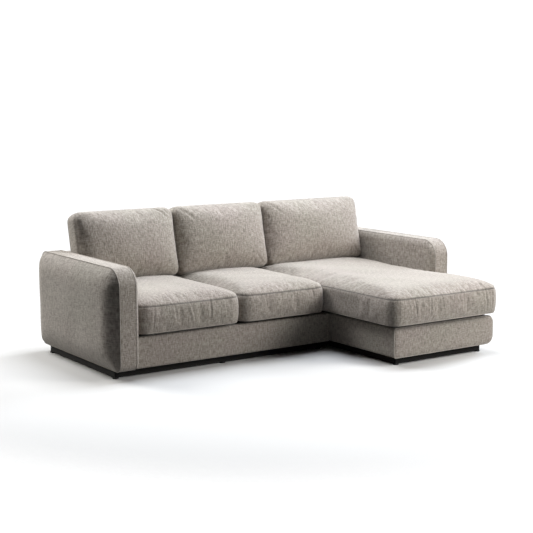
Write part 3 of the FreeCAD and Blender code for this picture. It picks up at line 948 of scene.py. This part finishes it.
def new_piece(name: str, sheet: Sheet, material: Material) -> Piece:
    """Smooth mesh object from a sheet.

    Args:
        name: Name of the piece.
        sheet: Its surface.
        material: Its finish.

    Returns:
        The object, at the origin.
    """
    mesh = bpy.data.meshes.new(name)
    mesh.from_pydata(sheet.points.tolist(), [], sheet.quads.tolist())
    layer = mesh.uv_layers.new(name="cloth")
    layer.data.foreach_set("uv", sheet.cloth.astype(np.float32).ravel())
    # The seam weights are painted shade, which the chenille reads.
    if sheet.seam is not None:
        weight = mesh.attributes.new("seam", "FLOAT", "POINT")
        weight.data.foreach_set("value", sheet.seam.astype(np.float32))
    mesh.materials.append(material)
    mesh.polygons.foreach_set("use_smooth", np.ones(len(mesh.polygons), dtype=bool))
    mesh.update()
    return in_scene(name, mesh)


def declare(piece: Piece, body: str, node: str | None = None) -> None:
    """Hangs a piece on its body's empty, and hides the solid that it stands for.

    Args:
        piece: The piece.
        body: Body that it rides on.
        node: Solid that it stands for, where it is padded.
    """
    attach(piece, body)
    if node is not None:
        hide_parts(node)


def read_points(mesh: bpy.types.Mesh) -> Array:
    """Places of a mesh's vertices, one row each."""
    flat = np.empty(len(mesh.vertices) * 3)
    mesh.vertices.foreach_get("co", flat)
    return flat.reshape(-1, 3)


def write_points(mesh: bpy.types.Mesh, points: Array) -> None:
    """Moves a mesh's vertices to new places."""
    mesh.vertices.foreach_set("co", points.astype(np.float32).ravel())
    mesh.update()


def crease_piece(piece: Piece, pad: Pad, shade: float = 40.0) -> None:
    """Moves the points along their normals by the sum of the pad's creases.

    The grooves get painted shade too, by their depth times the shade.

    Args:
        piece: The pad's object.
        pad: The pad whose creases are cut in.
        shade: Painted-shade weight for each metre of depth.
    """
    mesh = piece.data
    points = read_points(mesh)
    normals = np.empty(points.size)
    mesh.vertex_normals.foreach_get("vector", normals)
    normals = normals.reshape(-1, 3)
    own, own_normals = pad.placing.to_pad(points), normals @ pad.placing.axes().T
    total = np.zeros(len(points))
    for crease in pad.creases:
        total += crease.offset(own, own_normals)
    write_points(mesh, points + normals * total[:, None])
    # Painted shade in the grooves, added to the seam weights.
    weight = mesh.attributes["seam"].data
    tone = np.empty(len(points))
    weight.foreach_get("value", tone)
    weight.foreach_set("value", (tone + shade * np.maximum(-total, 0.0)).astype(np.float32))


def refine(piece: Piece) -> None:
    """Adds one smooth subdivision, the same in view and render."""
    modifier = piece.modifiers.new("smooth", "SUBSURF")
    modifier.levels = modifier.render_levels = 1


def made_fine(piece: Piece) -> None:
    """Keeps one level of smooth subdivision in the mesh itself.

    The points of the coarse mesh keep their numbers, and come first.
    """
    refine(piece)
    shaped = piece.evaluated_get(bpy.context.evaluated_depsgraph_get())
    fine = bpy.data.meshes.new_from_object(shaped)
    coarse = piece.data
    piece.modifiers.clear()
    piece.data = fine
    bpy.data.meshes.remove(coarse)


@dataclass(frozen=True)
class Swelling:
    """Cloth simulation that fills a pad out from inside."""

    pressure: float = 3.0
    frames: int = 20
    spare_cloth: float = 0.010
    limit: float = 0.012
    mass: float = 0.25
    stretch_stiffness: float = 40.0
    shear_stiffness: float = 15.0
    bending_stiffness: float = 4.0

    def run(self, piece: Piece, held: Indices) -> None:
        """Simulates, limits how far each point moves, and keeps the result.

        Args:
            piece: The pad.
            held: Numbers of the points that stay: the seams, and the face it rests on.
        """
        before = read_points(piece.data)
        piece.vertex_groups.new(name="held").add(held.tolist(), 1.0, "REPLACE")
        modifier = piece.modifiers.new("fill", "CLOTH")
        cloth = modifier.settings
        cloth.vertex_group_mass = "held"
        cloth.quality = 4
        cloth.mass = self.mass
        cloth.tension_stiffness = cloth.compression_stiffness = self.stretch_stiffness
        cloth.shear_stiffness = self.shear_stiffness
        cloth.bending_stiffness = self.bending_stiffness
        cloth.use_pressure = True
        cloth.uniform_pressure_force = self.pressure
        cloth.shrink_min = -self.spare_cloth
        cloth.effector_weights.gravity = 0.0
        modifier.point_cache.frame_start = 1
        modifier.point_cache.frame_end = self.frames
        scene = bpy.context.scene
        for number in range(1, self.frames + 1):
            scene.frame_set(number)
        shaped = piece.evaluated_get(bpy.context.evaluated_depsgraph_get())
        moved = read_points(shaped.data) - before
        length = np.linalg.norm(moved, axis=1)
        limited = self.limit * np.tanh(length / self.limit)
        share = np.where(length > TINY, limited / np.maximum(length, TINY), 0.0)
        piece.modifiers.remove(modifier)
        piece.vertex_groups.clear()
        write_points(piece.data, before + moved * share[:, None])
        scene.frame_set(1)


@dataclass
class LooseCushion:
    """One loose cushion: its cloth pad and the thin bead of its lower seam.

    Rests are own coordinates that the pad stays within. Ahead of its free front, the
    left or right side may stand out by the give, reached within its length.
    """

    name: str
    pad: Pad
    rest_low: Triple
    rest_high: Triple
    free_fronts: tuple[float, float] = (-1.0, -1.0)
    give: float = 0.012
    give_length: float = 0.060
    swelling: Swelling = Swelling()
    fill: float = 0.75
    bead_radius: float = 0.0026

    def flatten(self, cover: Piece) -> None:
        """Flattens the pad where it rests on its neighbours."""
        own = self.pad.placing.to_pad(read_points(cover.data))
        low, high = (np.tile(rest, (len(own), 1)) for rest in (self.rest_low, self.rest_high))
        for bound, outward, free in zip((low, high), (-self.give, self.give), self.free_fronts):
            bound[:, 0] += outward * np.clip((free - own[:, 1]) / self.give_length, 0.0, 1.0)
        write_points(cover.data, self.pad.placing.to_sofa(np.clip(own, low, high)))

    def build(self, finishes: Finishes) -> list[Piece]:
        """Makes the cushion's pieces and hangs them on its body."""
        cover = new_piece(self.name + "_cloth", self.pad.sheet(), finishes.chenille)
        held = np.concatenate([np.arange(self.pad.lower_count), *self.pad.seam_loops])
        self.swelling.run(cover, held)
        self.flatten(cover)
        made_fine(cover)
        crease_piece(cover, self.pad)
        lower_seam = bead(read_points(cover.data)[self.pad.seam_loops[0]], self.bead_radius)
        trim = new_piece(self.name + "_seam_bead", lower_seam, finishes.piping)
        declare(cover, self.name, self.name + "_cover")
        declare(trim, self.name)
        return [cover, trim]


def front_puckers(depth: float, places: tuple[Triple, ...]) -> tuple[Crease, ...]:
    """Puckers of a seat cushion's front boxing, each with a short fold on the crown above.

    Args:
        depth: Depth of the cushion, front to back.
        places: Own x, sideways lean and depth of each pucker.

    Returns:
        The creases, in the cushion's own coordinates.
    """
    front = -depth / 2.0
    creases = []
    for x, slant, sink in places:
        top, foot = ((x + way, front, z) for way, z in zip((0.0, slant), PUCKER_HEIGHTS))
        creases.append(Crease(top, foot, PUCKER_WIDTH, sink * PUCKER_SINK))
        near, far = (
            (x - slant * lean, front + y, z) for lean, (y, z) in zip(FOLD_LEANS, FOLD_ENDS)
        )
        creases.append(Crease(near, far, FOLD_WIDTH, sink * FOLD_SINK))
    return tuple(creases)


@dataclass
class LooseCushions:
    """The three seat cushions and the three back cushions.

    Puckers are own x, sideways lean and depth; folds are start, end, width and depth.
    """

    overhang: float = 0.020
    side_room: float = SIDE_GAP * 0.8
    pull: float = 0.300
    pull_room: float = 0.020
    arm_room: float = 0.008
    seat_radii: tuple[float, ...] = (0.070, 0.070, 0.045, 0.045)
    seat_lower: Roll = Roll(0.020, 0.060, Turn.TUCKED)
    seat_boxing: float = 0.154
    seat_upper: Roll = Roll(0.052, 0.190)
    back_height: float = 0.450
    back_foot: float = 0.426
    back_radii: tuple[float, ...] = (0.042, 0.042, 0.052, 0.052)
    back_lower: Roll = Roll(0.035, 0.030)
    back_boxing: float = 0.100
    back_upper: Roll = Roll(0.062, 0.105)
    left_puckers: tuple[Triple, ...] = (
        (-0.117, 0.010, 0.0032), (-0.024, 0.030, -0.0036), (0.127, -0.006, 0.0050),
        (-0.250, -0.014, 0.0024), (0.230, 0.008, 0.0016),
    )
    middle_puckers: tuple[Triple, ...] = (
        (-0.150, 0.006, 0.0020), (0.060, -0.008, 0.0026), (0.205, 0.010, 0.0030),
    )
    chaise_puckers: tuple[Triple, ...] = (
        (-0.272, 0.012, 0.0046), (-0.142, -0.010, 0.0040), (-0.055, 0.014, 0.0026),
        (0.310, 0.008, 0.0044), (0.368, -0.006, 0.0040), (0.120, 0.006, 0.0018),
    )
    left_folds: tuple[Crease, ...] = (
        Crease((0.200, 0.220, 0.150), (0.275, 0.145, 0.205), 0.013, 0.0050),
        Crease((0.245, 0.220, 0.150), (0.300, 0.165, 0.190), 0.011, 0.0030),
        Crease((0.325, -0.150, 0.150), (0.260, -0.195, 0.190), 0.011, 0.0030),
        Crease((-0.300, -0.190, 0.170), (-0.225, -0.110, 0.222), 0.014, 0.0022),
    )
    middle_folds: tuple[Crease, ...] = (
        Crease((-0.300, 0.195, 0.168), (-0.215, 0.110, 0.222), 0.014, 0.0030),
        Crease((0.290, -0.200, 0.170), (0.215, -0.130, 0.222), 0.013, 0.0026),
    )
    right_folds: tuple[Crease, ...] = (
        Crease((-0.360, 0.198, 0.168), (-0.270, 0.105, 0.222), 0.014, 0.0034),
        Crease((-0.345, -0.195, 0.170), (-0.265, -0.120, 0.222), 0.013, 0.0024),
        Crease((0.365, -0.195, 0.170), (0.280, -0.125, 0.222), 0.013, 0.0026),
    )

    def rests(self, pad: Pad, front: float, back: float) -> tuple[Triple, Triple]:
        """Least and greatest own coordinates, with the given room ahead and behind."""
        half_x, half_y = pad.outline.halves()
        half_x += self.side_room
        return (-half_x, -half_y - front, 0.0), (half_x, half_y + back, 1.0)

    def seat(self, seed: int, name: str, left: float, right: float, front: float,
             puckers: tuple[Triple, ...]) -> LooseCushion:
        """Seat cushion on the deck, which may swell only forward and upward.

        Args:
            seed: Seed of its unevenness.
            name: Name of the cushion.
            left: Left side of its bay.
            right: Right side of its bay.
            front: Its front edge.
            puckers: Puckers of its front.

        Returns:
            The cushion.
        """
        deck_back = back_face(DECK_TOP)
        back = deck_back - BACK_GAP
        middle = (front + back) / 2.0
        pad = Pad(
            Outline(right - left - 2.0 * SIDE_GAP, back - front, self.seat_radii),
            self.seat_lower, self.seat_boxing, self.seat_upper,
            Placing(((left + right) / 2.0, middle, DECK_TOP)), seed,
            # The lower face gets painted shade, so that the gap under the cushion looks dark.
            side_bulge=0.006, underside_painted_shade=1.1, edge=(0.004, 0.012), gather=0.0009,
            creases=front_puckers(deck_back - front, puckers),
        )
        past_pulled = SEAT_FRONT - self.pull - self.pull_room - middle
        past_arm = ARM_FRONT - self.arm_room - middle if right == INNER_RIGHT else -1.0
        low, high = self.rests(pad, self.overhang, 0.0)
        return LooseCushion(name, pad, low, high, (past_pulled, past_arm))

    def back(self, seed: int, name: str, left: float, right: float,
             folds: tuple[Crease, ...]) -> LooseCushion:
        """Back cushion that leans on the back rest, its own y up the lean and z forward.

        Args:
            seed: Seed of its unevenness.
            name: Name of the cushion.
            left: Left side of its bay.
            right: Right side of its bay.
            folds: Its folds.

        Returns:
            The cushion.
        """
        up = np.array([0.0, math.sin(LEAN), math.cos(LEAN)])
        foot_y = back_face(self.back_foot) - BACK_GAP / math.cos(LEAN)
        middle = np.array([(left + right) / 2.0, foot_y, self.back_foot])
        middle = middle + up * self.back_height / 2.0
        out = (0.0, -math.cos(LEAN), math.sin(LEAN))
        pad = Pad(
            Outline(right - left - 2.0 * SIDE_GAP, self.back_height, self.back_radii),
            self.back_lower, self.back_boxing, self.back_upper,
            Placing(tuple(middle), along=tuple(up), out=out), seed,
            gather=0.0010, belly=0.052, belly_drop=-0.010, seam_painted_shade=0.4, creases=folds,
        )
        return LooseCushion(name, pad, *self.rests(pad, 0.0, self.overhang))

    def build(self, finishes: Finishes) -> list[Piece]:
        """Makes all six cushions."""
        split, chaise_left = SEAT_SPLIT, CHAISE_CUSHION_LEFT
        seats = (
            ("left_seat_cushion", INNER_LEFT, split, SEAT_FRONT, self.left_puckers),
            ("middle_seat_cushion", split, chaise_left, SEAT_FRONT, self.middle_puckers),
            ("chaise_cushion", chaise_left, INNER_RIGHT, CHAISE_FRONT, self.chaise_puckers),
        )
        backs = (
            ("left_back_cushion", INNER_LEFT, split, self.left_folds),
            ("middle_back_cushion", split, MODULE_SPLIT, self.middle_folds),
            ("right_back_cushion", MODULE_SPLIT, INNER_RIGHT, self.right_folds),
        )
        cushions = [self.seat(seed, *row) for seed, row in enumerate(seats, 1)]
        cushions += [self.back(seed, *row) for seed, row in enumerate(backs, 4)]
        return [piece for cushion in cushions for piece in cushion.build(finishes)]


@dataclass
class Arms:
    """The two padded arms, mirror images of each other."""

    width: float = 0.190
    depth: float = 1.060
    bottom: float = 0.0533
    top: float = 0.648
    inner_roll: Roll = Roll(0.026, 0.045)
    outer_roll: Roll = Roll(0.060, 0.150, Turn.SOFT)
    radii: tuple[float, ...] = (0.050, 0.038, 0.080, 0.110)
    bead_radius: float = 0.0025
    seed: int = 7

    def pad(self, side: Side) -> Pad:
        """Pad of one arm: its own x runs back, its y up and its z outward."""
        tall = self.top - self.bottom
        middle = (
            INNER_RIGHT * side.value, ARM_FRONT + self.depth / 2.0, self.bottom + tall / 2.0
        )
        out = (float(side.value), 0.0, 0.0)
        return Pad(
            Outline(self.depth, tall, self.radii), self.inner_roll,
            self.width - self.inner_roll.rise - self.outer_roll.rise, self.outer_roll,
            Placing(middle, across=(0.0, 1.0, 0.0), along=(0.0, 0.0, 1.0), out=out),
            self.seed + side.value, seam_draw=0.0015, seam_dip=0.0, seam_painted_shade=0.5, wander=0.0008,
            gather=0.0006, band_turned=True, cloth_scale=(0.62, 0.9), smoothing=12,
            firm_rim=0.026,
        )

    def build(self, finishes: Finishes) -> list[Piece]:
        """Makes both arms with the piping along their seams."""
        pieces = []
        for side in Side:
            name = f"{side.name.lower()}_arm"
            pad = self.pad(side)
            cover = new_piece(name + "_cloth", pad.sheet(), finishes.chenille)
            points = read_points(cover.data)
            inner, outer = (bead(points[loop], self.bead_radius) for loop in pad.seam_loops)
            trim = new_piece(name + "_piping", inner.joined(outer), finishes.piping)
            refine(cover)
            declare(cover, "sofa_frame", name + "_cover")
            declare(trim, "sofa_frame")
            pieces += [cover, trim]
        return pieces


def line(start: Array, end: Array, count: int) -> Array:
    """Points from start to end in even steps, without the start itself."""
    return start + (end - start) * np.linspace(0.0, 1.0, count + 1)[1:, None]


def rounded_path(corners: list[Triple], step: float) -> Array:
    """Path through corners, each rounded by its own radius.

    At a corner, the arc is a quadratic curve from the point one radius before it to
    the point one radius after it.

    Args:
        corners: (y, z, radius) of each corner, and a radius of 0 at the two ends.
        step: Spacing of the points.

    Returns:
        (y, z) points along the path.
    """
    points = np.array([corner[:2] for corner in corners])
    parts = [points[:1]]
    last = points[0]
    for index in range(1, len(corners) - 1):
        corner, radius = points[index], corners[index][2]
        before, after = corner - points[index - 1], points[index + 1] - corner
        start = corner - before / np.linalg.norm(before) * radius
        end = corner + after / np.linalg.norm(after) * radius
        parts.append(line(last, start, max(2, round(float(np.linalg.norm(start - last)) / step))))
        share = np.linspace(0.0, 1.0, max(3, round(2.0 * radius / step)) + 1)[1:, None]
        rest = 1.0 - share
        parts.append(rest ** 2 * start + 2.0 * share * rest * corner + share ** 2 * end)
        last = end
    count = max(2, round(float(np.linalg.norm(points[-1] - last)) / step))
    parts.append(line(last, points[-1], count))
    return np.vstack(parts)


def wrapped_cover(path: Array, left: float, right: float, wall: float, bulge: float,
                  step: float = 0.012) -> Sheet:
    """Padded cover of one profile, carried from side to side and closed all round.

    The outer surface is the path carried along x, raised by bulge times the sine of
    the way along each direction and rounded off at both ends. The inner surface is the
    path moved square to itself by the wall.

    Args:
        path: Outer (y, z) profile.
        left: Left end.
        right: Right end.
        wall: Thickness of the padding.
        bulge: Greatest swelling of the outer surface.
        step: Spacing from side to side.

    Returns:
        The closed surface.
    """
    tangent = unit(np.gradient(path, axis=0))
    normal = np.stack([-tangent[:, 1], tangent[:, 0]], axis=1)
    run = run_along(path)
    x = eased_axis((right - left) / 2.0, step, END_COLUMNS) + (left + right) / 2.0
    across = np.sin(math.pi * ((x - left) / (right - left)))[None, :] ** 0.5
    ease = np.clip(np.minimum(x - left, right - x) / END_EASE, 0.0, 1.0)
    rounding = END_ROUNDING * (1.0 - np.sqrt(1.0 - (1.0 - ease) ** 2))
    outer = bulge * across * np.sin(math.pi * run / run[-1])[:, None] - rounding[None, :]
    grid_x = np.broadcast_to(x, outer.shape)[:, :, None]
    points = []
    for offset in (outer, np.full_like(outer, -wall)):
        profile = path[:, None, :] + normal[:, None, :] * offset[:, :, None]
        points.append(np.concatenate([grid_x, profile], axis=2).reshape(-1, 3))
    numbers = numbered(*outer.shape)
    face = numbers.size
    rim = rim_of(numbers)
    edge = quads_of(wrapped(np.stack([rim, rim + face])))
    quads = [quads_of(numbers), quads_of(numbers + face)[:, ::-1], edge[:, ::-1]]
    plane = cloth_of(*np.meshgrid(x, run))
    strip = cloth_of(*np.meshgrid(np.arange(len(rim) + 1) * step, (0.0, wall)))
    cloth = np.vstack([plane, reversed_cloth(plane), reversed_cloth(strip)])
    return Sheet(np.vstack(points), np.vstack(quads), cloth).turned_outwards()


def end_panel(path: Array, x: float, thickness: float) -> Sheet:
    """Flat panel that closes one end of a profile.

    Rings of the profile shrink toward its middle, so that the panel is a grid of
    rings by points, on both faces, joined round the rim.

    Args:
        path: (y, z) profile, open below, of which a closed outline is made.
        x: Place of the outer face.
        thickness: Thickness, toward positive or negative x.

    Returns:
        The closed surface.
    """
    outline = np.vstack([path, line(path[-1], path[0], PANEL_STEPS)[:-1]])
    middle = outline.mean(axis=0)
    rings = middle + (outline - middle) * np.array(PANEL_RINGS)[:, None, None]
    faces = []
    for place, ring in ((x, rings[::-1]), (x + thickness, rings)):
        faces.append(np.concatenate([np.full((*ring.shape[:2], 1), place), ring], axis=2))
    whole = np.concatenate(faces, axis=0)
    closed = wrapped(whole)
    quads = quads_of(wrapped(numbered(*whole.shape[:2])))
    cloth = cloth_of(closed[:, :, 1], closed[:, :, 2])
    return Sheet(whole.reshape(-1, 3), quads, cloth).turned_outwards()


def paint_lip_shade(sheet: Sheet, top: float, front: float, tone: float = 1.1) -> Sheet:
    """Paints shade on the level top of a base, in the gap under the cushions.

    Args:
        sheet: The cover.
        top: Height of its top.
        front: Its front edge.
        tone: How dark it gets.

    Returns:
        The sheet with the painted shade in its seam weights.
    """
    y, z = sheet.points[:, 1], sheet.points[:, 2]
    # Painted shade on the lip, where the cushions overhang it.
    level = (z > top - LIP_UNDER) & (y > front + LIP_BEHIND)
    seam = np.zeros(len(sheet.points)) if sheet.seam is None else sheet.seam
    return Sheet(sheet.points, sheet.quads, sheet.cloth, np.where(level, tone, seam))


@dataclass
class BackRest:
    """The fixed back rest behind the loose cushions: one cover for each module."""

    wall: float = 0.012
    edge_radius: float = 0.030
    bulge: float = 0.004
    step: float = 0.012
    panel_inset: float = 0.003

    def build(self, finishes: Finishes) -> list[Piece]:
        """Makes the two covers."""
        corners = [
            (BACK_REAR, BASE_BOTTOM, 0.0),
            (BACK_REAR, BACK_TOP, self.edge_radius),
            (back_face(BACK_TOP), BACK_TOP, self.edge_radius),
            (back_face(LIP_BOTTOM), LIP_BOTTOM, 0.0),
        ]
        path = rounded_path(corners, self.step)
        upper = path[path[:, 1] >= LIP_BOTTOM]
        pieces = []
        for name, left, right, end, inward in (
            ("seat_back", INNER_LEFT, MODULE_SPLIT, INNER_LEFT, 1.0),
            ("chaise_back", MODULE_SPLIT, INNER_RIGHT, INNER_RIGHT, -1.0),
        ):
            sheet = wrapped_cover(path, left, right, self.wall, self.bulge)
            thickness = inward * (self.wall - self.panel_inset)
            sheet = sheet.joined(end_panel(upper, end + inward * self.panel_inset, thickness))
            cover = new_piece(name + "_cloth", sheet, finishes.chenille)
            declare(cover, "sofa_frame", name + "_cover")
            pieces.append(cover)
        return pieces


@dataclass
class Bases:
    """The upholstered borders of the seat base and of the chaise base, and the decks."""

    wall: float = 0.005
    lip: float = 0.045
    edge_radius: float = 0.008
    bulge: float = 0.002
    step: float = 0.010
    top: float = DECK_TOP - 0.004
    front_roll: Roll = Roll(0.008, 0.030)
    rear_roll: Roll = Roll(0.0, 0.010)
    radii: tuple[float, ...] = (0.014, 0.050, 0.050, 0.014)
    deck_radius: float = 0.012
    deck_lower: Roll = Roll(0.0015, 0.006)
    deck_boxing: float = 0.006
    deck_upper: Roll = Roll(0.0015, 0.012)
    bead_radius: float = 0.0036
    chaise_seed: int = 11
    deck_seed: int = 13

    def seat_border(self, finishes: Finishes) -> Piece:
        """Front border of the seat base."""
        corners = [
            (BASE_FRONT + self.lip, self.top, 0.0),
            (BASE_FRONT, self.top, self.edge_radius),
            (BASE_FRONT, BASE_BOTTOM, 0.0),
        ]
        path = rounded_path(corners, self.step)[::-1]
        sheet = wrapped_cover(path, INNER_LEFT, MODULE_SPLIT, self.wall, self.bulge)
        sheet = paint_lip_shade(sheet, self.top, BASE_FRONT)
        cover = new_piece("seat_base_cloth", sheet, finishes.chenille)
        declare(cover, "sofa_frame", "seat_base_cover")
        return cover

    def chaise_border(self, finishes: Finishes) -> list[Piece]:
        """Cover of the chaise base, with the piping round its front panel."""
        height = self.top - BASE_BOTTOM
        rear = back_face(LIP_BOTTOM)
        middle = ((MODULE_SPLIT + INNER_RIGHT) / 2.0, rear, BASE_BOTTOM + height / 2.0)
        pad = Pad(
            Outline(INNER_RIGHT - MODULE_SPLIT, height, self.radii), self.rear_roll,
            rear - (CHAISE_BASE_FRONT + self.front_roll.rise), self.front_roll,
            Placing(middle, along=(0.0, 0.0, 1.0), out=(0.0, -1.0, 0.0)), self.chaise_seed,
            seam_draw=0.001, seam_dip=0.0, cell=0.014, boxing_cell=0.03, wander=0.0006,
            edge=(0.004, 0.009), band_turned=True,
        )
        sheet = paint_lip_shade(pad.sheet(), self.top, CHAISE_BASE_FRONT)
        cover = new_piece("chaise_base_cloth", sheet, finishes.chenille)
        seam = bead(read_points(cover.data)[pad.seam_loops[1]], self.bead_radius)
        piping = new_piece("chaise_base_piping", seam, finishes.piping)
        refine(cover)
        declare(cover, "sofa_frame", "chaise_base_cover")
        declare(piping, "sofa_frame")
        return [cover, piping]

    def deck(self, name: str, finishes: Finishes) -> Piece:
        """Platform cloth under the loose cushions, laid over its plain solid."""
        low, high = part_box(name + "_pad")
        middle = ((low.x + high.x) / 2.0, (low.y + high.y) / 2.0, low.z)
        pad = Pad(
            Outline(high.x - low.x, high.y - low.y, (self.deck_radius,) * 4),
            self.deck_lower, self.deck_boxing, self.deck_upper, Placing(middle), self.deck_seed,
            seam_draw=0.0005, seam_dip=0.0, cell=0.04, boxing_cell=0.003, wander=0.0,
            edge=(0.0015, 0.0028),
        )
        cover = new_piece(name + "_cloth", pad.sheet(), finishes.platform)
        declare(cover, "sofa_frame", name + "_pad")
        return cover

    def build(self, finishes: Finishes) -> list[Piece]:
        """Makes the borders and the decks."""
        borders = [self.seat_border(finishes), *self.chaise_border(finishes)]
        return borders + [self.deck(name, finishes) for name in ("seat_deck", "chaise_deck")]


class Carcass:
    """Timber, webbing, plinth, glides and foam, which keep their own solids."""

    def rules(self, finishes: Finishes) -> tuple[tuple[str, Material], ...]:
        """What a node's name holds, and its finish. The first rule that fits counts."""
        return (
            ("filling", finishes.foam), ("webbing", finishes.webbing),
            ("glides", finishes.glide), ("plinth_long", finishes.plinth),
            ("plinth_end", finishes.plinth), ("plinth_ties", finishes.plinth),
            ("plinth", finishes.plinth_sides), ("base_board", finishes.plywood),
            ("arm_boards", finishes.plywood), ("posts", finishes.plywood),
            ("side_rails", finishes.pine_y), ("end_rails", finishes.pine_y),
            ("arm_rails", finishes.pine_y), ("seat_centre_rail", finishes.pine_y),
            ("corner_blocks", finishes.pine_z), ("rail", finishes.pine_x),
        )

    def build(self, finishes: Finishes) -> list[Piece]:
        """Gives each kept node its finish."""
        rules = self.rules(finishes)
        done = []
        for name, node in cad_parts.items():
            material = next((finish for part, finish in rules if part in name), None)
            if material is not None:
                node.data.materials.clear()
                node.data.materials.append(material)
                done.append(node)
        return done


@dataclass(frozen=True)
class Softbox:
    """Square area light that looks at a target."""

    name: str
    place: Triple
    target: Triple
    size: float
    power: float
    colour: Triple = (1.0, 1.0, 1.0)

    def build(self) -> None:
        """Hangs the light."""
        light = bpy.data.lights.new(self.name, "AREA")
        light.shape = "SQUARE"
        light.size = self.size
        light.energy = self.power
        light.color = self.colour
        lamp = in_scene(self.name, light)
        lamp.location = self.place
        lamp.visible_camera = False
        aim = Vector(self.target) - Vector(self.place)
        lamp.rotation_euler = aim.to_track_quat("-Z", "Y").to_euler()


@dataclass
class Studio:
    """Floor, lights and camera."""

    camera_place: Triple = (-4.258, -6.040, 1.598)
    camera_tilt: float = 8.14
    camera_turn: float = -34.58
    lens: float = 79.75
    sensor: float = 36.0
    floor_radius: float = 5.2
    floor_sides: int = 96
    floor_shown: tuple[float, float] = (2.2, 2.9)
    floor_colour: Triple = (0.742, 0.737, 0.728)
    floor_bounce: float = 0.22
    sky: float = 0.01
    backdrop: float = 1.1
    lamps: tuple[Softbox, ...] = (
        Softbox("overhead", (0.4, 0.3, 4.6), (0.4, 0.3, 0.0), 2.5, 174.0, (0.96, 1.0, 1.06)),
        Softbox("back_left_high", (-2.6, 3.2, 4.8), (0.0, 0.0, 0.4), 2.5, 196.0),
        Softbox(
            "back_left_far", (-3.7, 5.8, 2.4), (-0.8, 0.0, 0.4), 2.0, 236.0, (1.02, 1.0, 0.94)
        ),
        Softbox("front_right", (4.2, -5.5, 2.6), (0.2, -0.2, 0.4), 2.5, 190.0, (1.01, 1.0, 0.975)),
        Softbox("near_right", (1.9, -2.7, 1.9), (0.2, -0.2, 0.3), 1.2, 48.0, (1.01, 1.0, 0.975)),
        Softbox("right_front", (5.5, -2.5, 2.6), (0.2, 0.0, 0.4), 2.5, 60.0),
        Softbox("right", (5.5, 0.5, 3.0), (0.2, 0.0, 0.4), 2.5, 255.0, (0.94, 1.0, 1.08)),
    )

    def floor(self) -> None:
        """Plain pale floor that throws only part of its light back, and fades out at its rim."""
        material, graph = blank_material("pale_floor")
        bounce = (self.floor_bounce,) * 3 + (1.0,)
        tone = graph.mixed(graph.camera_ray(), bounce, (*self.floor_colour, 1.0))
        shader = graph.add(
            "ShaderNodeBsdfPrincipled",
            {"Base Color": tone, "Roughness": 0.8, "Specular IOR Level": 0.1},
        )
        clear = graph.add("ShaderNodeBsdfTransparent")
        reach = graph.add("ShaderNodeVectorMath", {0: graph.object_place()}, operation="LENGTH")
        limits = {0: reach.outputs["Value"], 1: self.floor_shown[0], 2: self.floor_shown[1]}
        faded = graph.add("ShaderNodeMapRange", limits, interpolation_type="SMOOTHSTEP")
        layers = {0: faded.outputs[0], 1: shader.outputs[0], 2: clear.outputs[0]}
        both = graph.add("ShaderNodeMixShader", layers)
        graph.add("ShaderNodeOutputMaterial", {0: both.outputs[0]})
        mesh = bpy.data.meshes.new("floor")
        angle = FULL_TURN * np.arange(self.floor_sides) / self.floor_sides
        rim = self.floor_radius * np.stack([np.cos(angle), np.sin(angle), 0.0 * angle], axis=1)
        mesh.from_pydata(rim.tolist(), [], [tuple(range(len(rim)))])
        mesh.materials.append(material)
        in_scene("floor", mesh)

    def world(self) -> None:
        """White surroundings: bright behind the sofa, softer as a light."""
        world = bpy.data.worlds.new("studio")
        world.use_nodes = True
        world.node_tree.nodes.clear()
        graph = Graph(world.node_tree)
        white = (1.0, 1.0, 1.0, 1.0)
        soft, bright = (
            graph.add("ShaderNodeBackground", {0: white, 1: strength}).outputs[0]
            for strength in (self.sky, self.backdrop)
        )
        mix = graph.add("ShaderNodeMixShader", {0: graph.camera_ray(), 1: soft, 2: bright})
        graph.add("ShaderNodeOutputWorld", {0: mix.outputs[0]})
        bpy.context.scene.world = world

    def camera(self) -> None:
        """Camera at the photograph's place."""
        data = bpy.data.cameras.new("camera")
        data.sensor_width = self.sensor
        data.lens = self.lens
        data.clip_end = 200.0
        camera = in_scene("camera", data)
        camera.location = self.camera_place
        camera.rotation_euler = (
            math.radians(90.0 - self.camera_tilt), 0.0, math.radians(self.camera_turn)
        )
        bpy.context.scene.camera = camera

    def build(self) -> None:
        """Sets the whole studio up."""
        bpy.context.scene.view_settings.view_transform = "Standard"
        self.floor()
        self.world()
        for lamp in self.lamps:
            lamp.build()
        self.camera()


def main() -> None:
    """Builds every sub-assembly in order and reports its pieces."""
    logging.basicConfig(level=logging.INFO, format="%(message)s")
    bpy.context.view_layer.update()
    finishes = Finishes()
    for part in (Carcass(), BackRest(), Arms(), Bases(), LooseCushions()):
        pieces = part.build(finishes)
        for piece in pieces:
            logger.info("%s: %s", type(part).__name__, piece.name)
    Studio().build()


if __name__ == "__main__":
    main()
